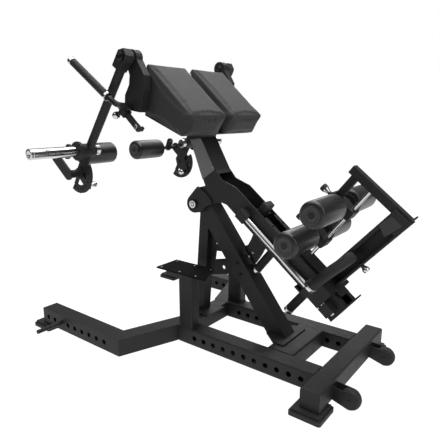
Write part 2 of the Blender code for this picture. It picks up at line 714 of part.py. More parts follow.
def make_upright():
    """The leaning upright, cut to fit under the brace and its head."""
    foot = Vector((UPRIGHT_FOOT_X, 0.0, TUBE_TOP))
    top = Vector((UPRIGHT_TOP[0], 0.0, UPRIGHT_TOP[1]))
    up = (top - foot).normalized()
    solid = bar(foot - up * TUBE, top, UPRIGHT, UPRIGHT)
    below = box((-1.0, -1.0, -1.0), (1.0, 1.0, TUBE_TOP + GAP))
    half = UPRIGHT / 2
    flange = box((UPRIGHT_FOOT_X + 0.006 - half, -0.070, TUBE_TOP + GAP),
                 (UPRIGHT_FOOT_X + half + 0.060, 0.070, TUBE_TOP + GAP + FLANGE))
    solid = weld(cut(solid, below), flange)
    brace = bar(BRACE_FOOT, brace_top() + BRACE_UP * TUBE, TUBE + 2 * GAP, TUBE * 2)
    head = rod((PIVOT_X, -TUBE, PIVOT_Z), (PIVOT_X, TUBE, PIVOT_Z), HEAD_RADIUS + GAP, ROUND_SIDES * 2)
    node("upright", cut(solid, brace, head), POWDER)


def make_web():
    """The plate that ties the upright to the brace, with its window and lightening holes."""
    upright_half = UPRIGHT / 2 + GAP
    brace_half = (TUBE / 2 + GAP) / math.cos(BRACE_LEAN)
    upright_run = (UPRIGHT_TOP[0] - UPRIGHT_FOOT_X) / (UPRIGHT_TOP[1] - TUBE_TOP)
    brace_run = -math.tan(BRACE_LEAN)
    left = UPRIGHT_FOOT_X - TUBE_TOP * upright_run + upright_half
    right = BRACE_FOOT_X - TUBE_TOP * brace_run - brace_half
    apex_z = (right - left) / (upright_run - brace_run)
    low_x = left + upright_run * WEB_LOW
    rise = math.tan(WEB_RISE)
    low_right_x = (right + brace_run * (WEB_LOW - low_x * rise)) / (1.0 - brace_run * rise)
    outline = [(low_x, WEB_LOW), (low_right_x, WEB_LOW + (low_right_x - low_x) * rise),
               (left + upright_run * apex_z, apex_z)]
    holes = [list(WEB_WINDOW)]
    for x, z, size in WEB_HOLES:
        holes.append(circle((x, z), size / 2, ROUND_SIDES))
    node("gusset_web", plate(outline, -WEB / 2, WEB / 2, holes), POWDER)


def shaft_profile(radius, faces, heads, head_radius):
    """The profile of a headed bolt between two faces, down its outer side from the top."""
    (low, high), (low_head, high_head), edge = faces, heads, 0.002
    profile = [(0.0, high + high_head)]
    if high_head:
        profile += [(head_radius - edge, high + high_head), (head_radius, high + high_head - edge),
                    (head_radius, high)]
    profile += [(radius, high), (radius, low)]
    if low_head:
        profile += [(head_radius, low), (head_radius, low - low_head + edge), (head_radius - edge, low - low_head)]
    return profile + [(0.0, low - low_head)]


def make_pivot_shaft():
    """The main pivot bolt with a wide polished head at each end."""
    face = EAR_FACE_Y + GAP
    profile = shaft_profile(PIVOT_DIAMETER / 2, (-face, face), (PIVOT_HEAD, PIVOT_HEAD), PIVOT_HEAD_DIAMETER / 2)
    node("main_pivot_shaft", turned(profile, PIVOT, (0, 1, 0)), CHROME)


def make_selector_pin():
    """The tilt pin and its knob on the far side."""
    pin = pin_place()
    tip = SELECTOR_PLATE / 2 + PLAY
    face = tip + SELECTOR_LUG + GAP
    solid = rod((pin.x, tip, pin.z), (pin.x, face + PIN_KNOB_LENGTH / 2, pin.z), SELECTOR_PIN / 2)
    radius = PIN_KNOB_DIAMETER / 2
    profile = [(0.0, PIN_KNOB_LENGTH), (radius - 0.004, PIN_KNOB_LENGTH), (radius, PIN_KNOB_LENGTH - 0.004),
               (radius, PIN_KNOB_LENGTH - 0.012), (radius * 0.6, 0.0), (0.0, 0.0)]
    knob = turned(profile, (pin.x, face, pin.z), (0, 1, 0))
    node("selector_pin", weld(solid, knob), CHROME, origin=(pin.x, face, pin.z))


# Beam

def side_plate_outline():
    """The side plate of the beam, its neck and its pivot ear, as (along, up) points."""
    return [NECK_TOP_REAR, NECK_TOP_FRONT, (-0.008, 0.210), (0.047, 0.200), (0.098, 0.217),
            (0.126, BEAM_TOP), (BEAM_LENGTH, BEAM_TOP), (BEAM_LENGTH, BEAM_BOTTOM), (0.138, BEAM_BOTTOM),
            (0.110, 0.117), *ear_outline(), (-0.007, 0.112)]


def ear_outline(inset=0.0):
    """The lower edge of the ear round the main pivot, drawn in towards the pivot by an inset."""
    lobe = arc((0.0, 0.0), EAR_RADIUS, math.radians(-45.0), math.radians(-180.0), 7)
    edge = [(0.076, 0.076), (0.059, 0.038), (0.057, 0.000), *lobe, (-0.041, 0.066)]
    points = []
    for point in edge:
        place = Vector(point)
        points.append(tuple(place * (1.0 - inset / place.length)))
    return points


def strip(points, thickness):
    """The outline of a flat bar that follows open points, its wall on their right hand."""
    inner = []
    for index, point in enumerate(points):
        here = Vector(point)
        before = Vector(points[max(index - 1, 0)])
        after = Vector(points[min(index + 1, len(points) - 1)])
        normals = []
        for start, end in ((before, here), (here, after)):
            run = end - start
            if run.length > 0.0:
                normals.append(Vector((run.y, -run.x)).normalized())
        mean = sum(normals, Vector((0.0, 0.0))).normalized()
        inner.append(tuple(here + mean * thickness / mean.dot(normals[0])))
    return list(points) + inner[::-1]


def make_main_beam(parent):
    """The beam: two side plates with the neck and ears, a floor, top lips and an end plate."""
    half = SIDE_PLATE_Y
    inside = half - BEAM_PLATE
    overlap = BEAM_PLATE / 2
    outline = side_plate_outline()
    block = [(-0.036, 0.080), (0.020, 0.092), (0.068, 0.085), *ear_outline(NECK_INSET)[:-1]]
    pieces = []
    for side in SIDES.values():
        pieces.append(plate(outline, *span(side, inside, half)))
        pieces.append(plate(block, *span(side, half - overlap, EAR_FACE_Y)))
        lip_low, lip_high = span(side, inside - BEAM_LIP, half - overlap)
        pieces.append(box((BEAM_LIP_START, lip_low, BEAM_TOP - NECK_INSET - BEAM_PLATE),
                          (BEAM_LENGTH - overlap, lip_high, BEAM_TOP - NECK_INSET)))
    reach = half - overlap
    floor = BEAM_BOTTOM + NECK_INSET
    pieces.append(box((0.139, -reach, floor), (BEAM_LENGTH - overlap, reach, floor + BEAM_PLATE)))
    rim = NECK_INSET
    pieces.append(box((BEAM_LENGTH - BEAM_PLATE, -half - rim, BEAM_BOTTOM - rim),
                      (BEAM_LENGTH + rim, half + rim, BEAM_END_TOP)))
    neck = [(-0.010, 0.117), NECK_TOP_REAR, NECK_TOP_FRONT, (-0.008, 0.210), (0.012, 0.2064)]
    shell = strip(neck, BEAM_PLATE + NECK_INSET)
    outer = strip(neck, NECK_INSET)
    shell[:len(neck)] = outer[:len(neck) - 1:-1]
    pieces.append(plate(shell, -reach, reach))
    pieces.append(bumper_shelf())
    for place in GUIDE_ROD_PLACES:
        for side in SIDES.values():
            pieces.append(guide_block(place, side))
    first, rest = pieces[0], pieces[1:]
    drills = [rod((0.0, -TUBE, 0.0), (0.0, TUBE, 0.0), PIVOT_DIAMETER / 2 + PLAY)]
    for index in range(RAIL_HOLES - 3):
        place = BEAM_LIP_START + HOLE_PITCH * (index + 0.95)
        for side in SIDES.values():
            y = side * (inside - BEAM_LIP / 2 + overlap)
            drills.append(rod((place, y, BEAM_TOP - BEAM_LIP), (place, y, BEAM_TOP + BEAM_LIP), 0.006, HOLE_SIDES))
    solid = cut(weld(first, *rest), *drills)
    node("main_beam", solid, POWDER, parent)


def guide_block(place, side):
    """A block on the side plate that holds one end of a guide rod, with its blind bore."""
    radius = GUIDE_ROD_DIAMETER / 2 + GAP
    y_low, y_high = span(side, SIDE_PLATE_Y - BEAM_PLATE / 2, GUIDE_ROD_Y + radius + 0.006)
    half = radius + 0.009
    solid = box((place - GUIDE_BLOCK_LENGTH / 2, y_low, GUIDE_ROD_HEIGHT - half),
                (place + GUIDE_BLOCK_LENGTH / 2, y_high, GUIDE_ROD_HEIGHT + half))
    toward = 1 if place < BEAM_LENGTH / 2 else -1
    seat = place - toward * GUIDE_BLOCK_LENGTH * 0.1
    end = place + toward * GUIDE_BLOCK_LENGTH
    drill = rod((seat, side * GUIDE_ROD_Y, GUIDE_ROD_HEIGHT), (end, side * GUIDE_ROD_Y, GUIDE_ROD_HEIGHT), radius)
    return cut(solid, drill)


def make_guide_rod(label, side, parent):
    """A guide rod between its two end blocks."""
    start = GUIDE_ROD_PLACES[0] - GUIDE_BLOCK_LENGTH * 0.1 + GAP
    end = GUIDE_ROD_PLACES[1] + GUIDE_BLOCK_LENGTH * 0.1 - GAP
    y = side * GUIDE_ROD_Y
    solid = rod((start, y, GUIDE_ROD_HEIGHT), (end, y, GUIDE_ROD_HEIGHT), GUIDE_ROD_DIAMETER / 2)
    node(f"guide_rod_{label}", solid, CHROME, parent)


def make_name_plate(parent):
    """The bare plate on the near face of the neck."""
    outline = [(-0.204, 0.222), (-0.161, 0.268), (-0.012, 0.209), (-0.036, 0.126)]
    low = -SIDE_PLATE_Y - GAP - NAME_PLATE
    node("name_plate", plate(outline, low, -SIDE_PLATE_Y - GAP), GREY, parent)


def make_selector_plate(parent):
    """The curved selector plate under the beam with its four tilt holes."""
    inner, outer = SELECTOR_BAND
    top = math.asin((BEAM_BOTTOM - GAP) / outer)
    top_inner = math.asin((BEAM_BOTTOM - GAP) / inner)
    bottom = -SELECTOR_STEP * (SELECTOR_HOLES - 0.6)
    steps = 8
    outline = arc((0, 0), outer, bottom, top, steps) + arc((0, 0), inner, top_inner, bottom, steps)
    holes = []
    for index in range(SELECTOR_HOLES):
        angle = -index * SELECTOR_STEP
        centre = (SELECTOR_RADIUS * math.cos(angle), SELECTOR_RADIUS * math.sin(angle))
        holes.append(circle(centre, SELECTOR_PIN / 2 + PLAY))
    half = SELECTOR_PLATE / 2
    solid = plate(outline, -half, half, holes)
    under = BEAM_BOTTOM - GAP
    foot = box((inner - 0.012, -0.030, under - FLANGE), (outer - 0.012, 0.030, under))
    node("selector_plate", weld(solid, foot), POWDER, parent)


def make_pull_grip(name, place, top, tip, parent):
    """A knurled pull grip that hangs square from a plate, with a thinner stem at its root."""
    length = top - tip
    radius, stem = GRIP_DIAMETER / 2, GRIP_STEM_DIAMETER / 2
    profile = [(0.0, length), (radius - GRIP_ROUND, length), (radius, length - GRIP_ROUND),
               (radius, GRIP_STEM + GRIP_ROUND), (stem, GRIP_STEM), (stem, 0.0), (0.0, 0.0)]
    node(name, turned(profile, (place, 0.0, top), (0, 0, -1)), GRIP, parent)


def bumper_shelf():
    """The shelf inside the beam that the rubber stop stands on."""
    high = SIDE_PLATE_Y - BEAM_PLATE / 2
    top = BEAM_TOP - BUMPER_SUNK - GAP
    reach = BUMPER_SIZE[0] / 2 + BEAM_PLATE
    return box((BUMPER_PLACE - reach, -high, top - BEAM_PLATE), (BUMPER_PLACE + reach, high, top))


def make_bumper(parent):
    """The rubber stop that the carriage meets at the top of its travel."""
    long, wide, tall = BUMPER_SIZE
    low = BEAM_TOP - BUMPER_SUNK
    solid = box((BUMPER_PLACE - long / 2, -wide / 2, low), (BUMPER_PLACE + long / 2, wide / 2, low + tall), 0.005, 1)
    node("rubber_bumper", solid, RUBBER, parent)


# Foot carriage

def lean_shift(height):
    """How far the foot arm has leaned at a height above the beam."""
    return (height - BEAM_TOP) * math.tan(FOOT_ARM_LEAN)


def make_foot_carriage(parent):
    """The carriage: side plates on the guide rods, base plate, foot arm, strut and top bar."""
    inside = SIDE_PLATE_Y + 0.001
    rod_half = GUIDE_ROD_DIAMETER / 2 + PLAY
    outer = GUIDE_ROD_Y + rod_half + CARRIAGE_PLATE
    floor_start, floor_end = CARRIAGE_FLOOR_PLACES
    pieces = []
    top = CARRIAGE_BASE + CARRIAGE_PLATE
    for side in SIDES.values():
        housing_low, housing_high = span(side, inside, outer)
        pieces.append(box((CARRIAGE_SIDE_START, housing_low, GUIDE_ROD_HEIGHT - CARRIAGE_HOUSING),
                          (CARRIAGE_SIDE_END, housing_high, GUIDE_ROD_HEIGHT + CARRIAGE_HOUSING)))
        wall_low, wall_high = span(side, outer - CARRIAGE_PLATE, outer)
        pieces.append(box((CARRIAGE_SIDE_START, wall_low, GUIDE_ROD_HEIGHT),
                          (CARRIAGE_SIDE_END, wall_high, top)))
        strap_low, strap_high = span(side, *CARRIAGE_STRAP_Y)
        pieces.append(box((CARRIAGE_SIDE_START, strap_low, CARRIAGE_FLOOR),
                          (floor_end, strap_high, GUIDE_ROD_HEIGHT - CARRIAGE_HOUSING / 2)))
        x, z = FOOT_TUBE_PLACE
        tube_low, tube_high = span(side, outer - CARRIAGE_PLATE / 2, FOOT_TUBE_LENGTH / 2)
        pieces.append(rod((x, tube_low, z), (x, tube_high, z), FOOT_TUBE_DIAMETER / 2))
    edge = CARRIAGE_STRAP_Y[1]
    pieces.append(box((floor_start, -edge, CARRIAGE_FLOOR), (floor_end, edge, BEAM_BOTTOM - CARRIAGE_CLEAR)))
    base_half = FOOT_ARM_WIDTH / 2 + 0.010
    pieces.append(box((CARRIAGE_START, -base_half, CARRIAGE_BASE), (CARRIAGE_END, base_half, top)))
    pieces.append(box((CARRIAGE_SIDE_START, -outer, CARRIAGE_BASE), (CARRIAGE_SIDE_END, outer, top)))
    pieces.append(foot_arm(top))
    half = TOP_BAR / 2
    pieces.append(box((TOP_BAR_START, -half, TOP_BAR_BOTTOM), (TOP_BAR_END, half, TOP_BAR_BOTTOM + TOP_BAR)))
    flange_low = TOP_BAR_END - 0.006
    pieces.append(box((flange_low, -half, TOP_BAR_BOTTOM), (TOP_BAR_END, 0.066, TOP_BAR_BOTTOM + TOP_BAR)))
    pieces.append(strut(top))
    solid = weld(pieces[0], *pieces[1:])
    drills = []
    for side in SIDES.values():
        y = side * GUIDE_ROD_Y
        drills.append(rod((CARRIAGE_SIDE_START - 0.01, y, GUIDE_ROD_HEIGHT),
                          (CARRIAGE_SIDE_END + 0.01, y, GUIDE_ROD_HEIGHT), rod_half))
    seat = SLIDE_ROD_DIAMETER / 2 + GAP
    drills.append(rod((SLIDE_ROD_PLACE, 0.0, CARRIAGE_BASE + 0.002),
                      (SLIDE_ROD_PLACE, 0.0, TOP_BAR_BOTTOM + 0.008), seat))
    pin_low = FOOT_ARM_PLACE + FOOT_ARM_DEPTH / 2
    drills.append(rod((pin_low, 0.0, FOOT_PIN_HEIGHT), (CARRIAGE_END + 0.05, 0.0, FOOT_PIN_HEIGHT),
                      PIN_DIAMETER / 2 + PLAY, HOLE_SIDES))
    node("foot_carriage", cut(solid, *drills), POWDER, parent)


def foot_arm(bottom):
    """The upright C channel that the feet push on, open to the near side, with its inner panel."""
    wall, front = FOOT_ARM_WALL, FOOT_ARM_FRONT
    half = FOOT_ARM_WIDTH / 2
    rear = FOOT_ARM_PLACE + FOOT_ARM_DEPTH
    outline = [(FOOT_ARM_PLACE, bottom - 0.002), (rear, bottom - 0.002),
               (rear + lean_shift(FOOT_ARM_TOP), FOOT_ARM_TOP),
               (FOOT_ARM_PLACE + lean_shift(FOOT_ARM_TOP), FOOT_ARM_TOP)]
    inner = [(FOOT_ARM_PLACE + front, bottom + wall), (rear - wall, bottom + wall),
             (rear - wall + lean_shift(FOOT_ARM_CLOSED), FOOT_ARM_CLOSED),
             (FOOT_ARM_PLACE + front + lean_shift(FOOT_ARM_CLOSED), FOOT_ARM_CLOSED)]
    solid = plate(outline, -half, half)
    return cut(solid, plate(inner, -half - wall, half - wall))


def strut(bottom):
    """The flat strut on which the roller blocks are pinned, with its row of pin holes."""
    half = STRUT_WIDTH / 2
    solid = box((STRUT_PLACE, -half, bottom - 0.002), (STRUT_PLACE + STRUT_THICK, half, TOP_BAR_BOTTOM + 0.002))
    drills = []
    height = ROLLER_HEIGHTS["lower"] - 0.025
    while height < TOP_BAR_BOTTOM - 0.030:
        drills.append(rod((STRUT_PLACE - 0.01, 0.0, height), (STRUT_PLACE + STRUT_THICK + 0.01, 0.0, height),
                          STRUT_HOLE / 2, HOLE_SIDES))
        height += 0.025
    return cut(solid, *drills)


def make_slide_rod(parent):
    """The polished rod that guides the roller blocks."""
    start = CARRIAGE_BASE + 0.002 + GAP
    end = TOP_BAR_BOTTOM + 0.008 - GAP
    solid = rod((SLIDE_ROD_PLACE, 0.0, start), (SLIDE_ROD_PLACE, 0.0, end), SLIDE_ROD_DIAMETER / 2)
    node("slide_rod", solid, CHROME, parent)


def make_roller_block(level, parent):
    """A block that slides on the strut and the rod, with the axle of its two ankle rollers."""
    height = ROLLER_HEIGHTS[level]
    half = BLOCK_HEIGHT / 2
    width = BLOCK_WIDTH / 2
    start = STRUT_PLACE - BLOCK_WALL
    end = SLIDE_ROD_PLACE + SLIDE_ROD_DIAMETER / 2 + 0.010
    solid = box((start, -width, height - half), (end, width, height + half), 0.006, 1)
    reach = ROLLER_INNER_Y + ROLLER_LENGTH
    axle = rod((ROLLER_PLACE, -reach, height), (ROLLER_PLACE, reach, height), AXLE_DIAMETER / 2)
    collars = []
    for side in SIDES.values():
        low, high = span(side, width - 0.002, ROLLER_INNER_Y - 0.001)
        collars.append(rod((ROLLER_PLACE, low, height), (ROLLER_PLACE, high, height), 0.017))
    solid = weld(solid, axle, *collars)
    slot = box((STRUT_PLACE - PLAY, -STRUT_WIDTH / 2 - PLAY, height - BLOCK_HEIGHT),
               (STRUT_PLACE + STRUT_THICK + PLAY, STRUT_WIDTH / 2 + PLAY, height + BLOCK_HEIGHT))
    bore = rod((SLIDE_ROD_PLACE, 0.0, height - BLOCK_HEIGHT), (SLIDE_ROD_PLACE, 0.0, height + BLOCK_HEIGHT),
               SLIDE_ROD_DIAMETER / 2 + PLAY)
    pin = rod((start - 0.01, 0.0, height), (STRUT_PLACE, 0.0, height), PIN_DIAMETER / 2 + PLAY, HOLE_SIDES)
    node(f"{level}_roller_block", cut(solid, slot, bore, pin), POWDER, parent)


def roller(name, place, side, parent, inner_y=ROLLER_INNER_Y):
    """A foam roller with an end cap, bored to turn on its axle."""
    radius, cap = ROLLER_DIAMETER / 2, CAP_DIAMETER / 2
    length = ROLLER_LENGTH
    bore = ROLLER_BORE / 2
    edge = 0.007
    foam = length - CAP_PROUD
    profile = [(bore, length), (cap - 0.004, length), (cap, length - 0.003), (cap, foam),
               (radius - edge, foam), (radius, foam - edge), (radius, edge), (radius - edge, 0.0),
               (bore, 0.0), (bore, length)]
    base = Vector((place[0], side * inner_y, place[1]))
    node(name, turned(profile, base, (0, side, 0), ROLLER_SIDES), FOAM, parent, origin=base)


def pop_pin(name, face, direction, depth, parent, body=PIN_BODY_LENGTH):
    """A spring pin: its tip reaches a depth past the face, and its knob stands off along the direction."""
    face, direction = Vector(face), Vector(direction)
    tip = rod(face - direction * depth, face + direction * body, PIN_DIAMETER / 2, HOLE_SIDES)
    radius, neck = PIN_KNOB_DIAMETER / 2, PIN_BODY_DIAMETER / 2
    total = body + PIN_KNOB_LENGTH
    profile = [(0.0, total), (radius - 0.004, total), (radius, total - 0.004), (radius, total - 0.014),
               (neck, body), (neck, 0.0), (0.0, 0.0)]
    knob = turned(profile, face, direction)
    node(name, weld(tip, knob), CHROME, parent, origin=face)


# Pads and their frame

def pad_solid(side):
    """A wedge-shaped pad: a coarse cage with a crowned top and drawn-in sides, subdivided."""
    stations = (0.0, 0.09, 0.50, 0.91, 1.0)
    base_rear, base_front, top_front, top_rear = (Vector((x, 0.0, z)) for x, z in PAD_CORNERS)
    up = (top_rear - base_rear).normalized()
    bm = bmesh.new()
    grid = {}
    last = len(stations) - 1
    for i, u in enumerate(stations):
        for j, v in enumerate(stations):
            for k, w in enumerate(stations):
                if 0 < i < last and 0 < j < last and 0 < k < last:
                    continue
                low = base_rear.lerp(base_front, u)
                high = top_rear.lerp(top_front, u)
                point = low.lerp(high, w)
                point.y = PAD_INNER_Y + (PAD_OUTER_Y - PAD_INNER_Y) * v
                inside_u, inside_v, inside_w = 0 < i < last, 0 < j < last, 0 < k < last
                if k == last and inside_u and inside_v:
                    point += up * PAD_CROWN
                if j in (0, last) and inside_u and inside_w:
                    point.y += PAD_DRAW_IN if j == 0 else -PAD_DRAW_IN
                if i in (0, last) and inside_v and inside_w:
                    point += (base_front - base_rear).normalized() * (PAD_DRAW_IN if i == 0 else -PAD_DRAW_IN)
                point.y *= side
                grid[i, j, k] = bm.verts.new(point)
    for a in range(last):
        for b in range(last):
            for level in (0, last):
                for corners in (((a, b, level), (a + 1, b, level), (a + 1, b + 1, level), (a, b + 1, level)),
                                ((a, level, b), (a + 1, level, b), (a + 1, level, b + 1), (a, level, b + 1)),
                                ((level, a, b), (level, a + 1, b), (level, a + 1, b + 1), (level, a, b + 1))):
                    bm.faces.new([grid[corner] for corner in corners])
    bmesh.ops.recalc_face_normals(bm, faces=bm.faces)
    cage = from_bmesh(bm)
    smooth = cage.modifiers.new("soften", 'SUBSURF')
    smooth.levels = 1
    smooth.render_levels = 1
    return to_solid(cage)


def saddle_line(shift):
    """The pad's underside moved down by a shift, as two points."""
    start, end = Vector(PAD_CORNERS[0]), Vector(PAD_CORNERS[1])
    run = (end - start).normalized()
    down = Vector((run.y, -run.x))
    return start + run * 0.012 + down * shift, end - run * 0.012 + down * shift


def bracket_outline():
    """The curved pivot plate between the cross tube, the rack bar and the arm's hinge."""
    hinge = (ARM_HINGE_X, ARM_HINGE_Z)
    points = arc(hinge, BRACKET_RADIUS, math.radians(-15.0), math.radians(200.0), 10)
    points += [(-0.268, 1.270), (-0.258, 1.245), (-0.264, 1.205), (-0.292, 1.164), (-0.296, 1.128)]
    points += [(-0.272, 1.100), (-0.205, 1.090), (-0.186, 1.140), (-0.174, 1.182), (-0.171, 1.240)]
    return points


def rack_point(along, y):
    """A point on a hand-grip rack bar, by its distance from the middle of the bar."""
    return Vector((RACK_MIDDLE[0] + along * math.cos(RACK_SLOPE), y,
                   RACK_MIDDLE[1] - along * math.sin(RACK_SLOPE)))


def make_pad_frame(parent):
    """The pad frame: cross tube, saddle plate, neck head, pivot plates and the rack bars."""
    half = CROSS_TUBE / 2
    reach = BRACKET_Y[0] + BRACKET_PLATE / 2
    solid = box((CROSS_TUBE_X - half, -reach, CROSS_TUBE_Z - half), (CROSS_TUBE_X + half, reach, CROSS_TUBE_Z + half))
    pieces = []
    top_start, top_end = saddle_line(GAP)
    low_start, low_end = saddle_line(GAP + SADDLE)
    rear_face = Vector(PAD_CORNERS[3]) - Vector(PAD_CORNERS[0])
    up = rear_face.normalized()
    back = Vector((-up.y, up.x))
    corner = Vector(PAD_CORNERS[0]) + back * GAP + (top_start - Vector(PAD_CORNERS[0])).project(rear_face)
    outline = [tuple(corner + up * BACK_PLATE), tuple(corner), tuple(top_start), tuple(top_end), tuple(low_end),
               tuple(low_start + (low_start - low_end).normalized() * (SADDLE * 3)),
               tuple(corner + back * SADDLE), tuple(corner + back * SADDLE + up * BACK_PLATE)]
    pad_reach = PAD_OUTER_Y - 0.015
    pieces.append(plate(outline, -pad_reach, pad_reach))
    neck_rear = BEAM_FRAME @ Vector((NECK_TOP_REAR[0], 0.0, NECK_TOP_REAR[1]))
    neck_front = BEAM_FRAME @ Vector((NECK_TOP_FRONT[0], 0.0, NECK_TOP_FRONT[1]))
    run = (neck_front - neck_rear).normalized()
    lift = Vector((-run.z, 0.0, run.x)) * GAP
    seat_rear, seat_front = neck_rear + lift, neck_front + lift
    front = low_start.lerp(low_end, 0.80)
    rear = low_start.lerp(low_end, 0.12)
    head = [(seat_rear.x, seat_rear.z), (seat_front.x, seat_front.z), (front.x, front.y + SADDLE / 2),
            (rear.x, rear.y + SADDLE / 2)]
    pieces.append(plate(head, -SIDE_PLATE_Y, SIDE_PLATE_Y))
    outline = bracket_outline()
    pocket = [tuple(Vector(point) - BRACKET_WALL) for point in outline]
    pockets = []
    bore = circle((ARM_HINGE_X, ARM_HINGE_Z), ARM_SHAFT / 2 + GAP, ROUND_SIDES)
    block = RACK_BAR / 2
    for side in SIDES.values():
        pieces.append(plate(outline, *span(side, BRACKET_Y[0], BRACKET_Y[1] + BRACKET_PLATE), [bore]))
        pockets.append(plate(pocket, *span(side, BRACKET_Y[0] + BRACKET_PLATE, BRACKET_Y[1])))
        pieces.append(bar(rack_point(-RACK_LENGTH / 2, side * RACK_Y), rack_point(RACK_LENGTH / 2, side * RACK_Y),
                          RACK_BAR, RACK_BAR))
        root = BRACKET_Y[1] + BRACKET_PLATE / 2
        y_low, y_high = span(side, root, RACK_Y - block + 0.002)
        for end in (-1, 1):
            middle = end * (RACK_LENGTH / 2 - 0.007)
            foot = bar(rack_point(middle - 0.006, 0.0), rack_point(middle + 0.006, 0.0), RACK_BAR * 0.9,
                       y_high - y_low)
            foot.data.transform(Matrix.Translation((0.0, (y_low + y_high) / 2, 0.0)))
            pieces.append(foot)
    above_start, above_end = saddle_line(-CROSS_TUBE)
    room = [tuple(above_start), tuple(above_end), tuple(top_end), tuple(top_start)]
    clear = PAD_OUTER_Y + PLAY
    node("pad_frame", cut(weld(solid, *pieces), plate(room, -clear, clear), *pockets), POWDER, parent)


def make_arm_shaft(label, side, parent):
    """The swing arm's hinge shaft, headed outside the arm and spaced between the pivot plates."""
    radius, wide = ARM_SHAFT / 2, ARM_SHAFT * 0.75
    inner, outer = BRACKET_Y
    face = ARM_HUB_Y[1] + PLAY
    profile = shaft_profile(radius, (inner - 0.004, face), (0.0, 0.008), wide)
    profile[4:4] = [(radius, outer - GAP), (wide, outer - GAP), (wide, inner + BRACKET_PLATE + GAP),
                    (radius, inner + BRACKET_PLATE + GAP)]
    profile.insert(4, (radius, face))
    profile = list(dict.fromkeys(profile))
    node(f"arm_shaft_{label}", turned(profile, (ARM_HINGE_X, 0.0, ARM_HINGE_Z), (0, side, 0)), CHROME, parent)


def make_hand_grip(label, side, parent):
    """A hand grip: a clamp on the rack bar, a bent tube and a knurled bar."""
    middle = -RACK_LENGTH / 2 + 0.014 + CLAMP_LENGTH / 2 + 0.002
    wall = CLAMP_WALL
    outer = RACK_BAR + 2 * wall
    solid = bar(rack_point(middle - CLAMP_LENGTH / 2, side * RACK_Y),
                rack_point(middle + CLAMP_LENGTH / 2, side * RACK_Y), outer, outer)
    start = rack_point(middle, side * RACK_Y)
    normal = Vector((math.sin(RACK_SLOPE), 0.0, math.cos(RACK_SLOPE)))
    face = RACK_BAR / 2 + wall / 2
    grip_y = side * HAND_GRIP_Y
    root = Vector((HAND_GRIP_ROOT[0], grip_y, HAND_GRIP_ROOT[1]))
    end = Vector((HAND_GRIP_END[0], grip_y, HAND_GRIP_END[1]))
    axis = (end - root).normalized()
    knots = [start + normal * face, start + normal * (face + 0.018), root - axis * 0.052, root + axis * 0.004]
    knots[2].y -= side * 0.010
    tube = pipe(smooth_path(knots, 5), HAND_GRIP_TUBE / 2)
    length = (end - root).length
    radius = HAND_GRIP_DIAMETER / 2
    profile = [(0.0, length), (radius - 0.004, length), (radius, length - 0.004), (radius, 0.004),
               (radius - 0.004, 0.0), (0.0, 0.0)]
    bar_grip = turned(profile, root, axis)
    stem = rod(start, start - Vector((0.062, 0.0, 0.014)), 0.008)
    knob = rod(start - Vector((0.046, 0.0, 0.010)), start - Vector((0.070, 0.0, 0.016)), 0.013)
    solid = weld(solid, tube, bar_grip, stem, knob)
    fit = RACK_BAR + 2 * PLAY
    hole = bar(rack_point(middle - CLAMP_LENGTH, side * RACK_Y), rack_point(middle + CLAMP_LENGTH, side * RACK_Y),
               fit, fit)
    node(f"hand_grip_{label}", cut(solid, hole), STEEL, parent, origin=start)


def smooth_path(knots, steps):
    """Points on a Catmull-Rom curve through the knots."""
    ends = [knots[0] * 2 - knots[1], *knots, knots[-1] * 2 - knots[-2]]
    points = []
    for index in range(len(knots) - 1):
        a, b, c, d = ends[index:index + 4]
        for step in range(steps):
            t = step / steps
            points.append(0.5 * (2 * b + (c - a) * t + (2 * a - 5 * b + 4 * c - d) * t ** 2
                                 + (3 * b - a - 3 * c + d) * t ** 3))
    points.append(knots[-1])
    return points


# Swing arms

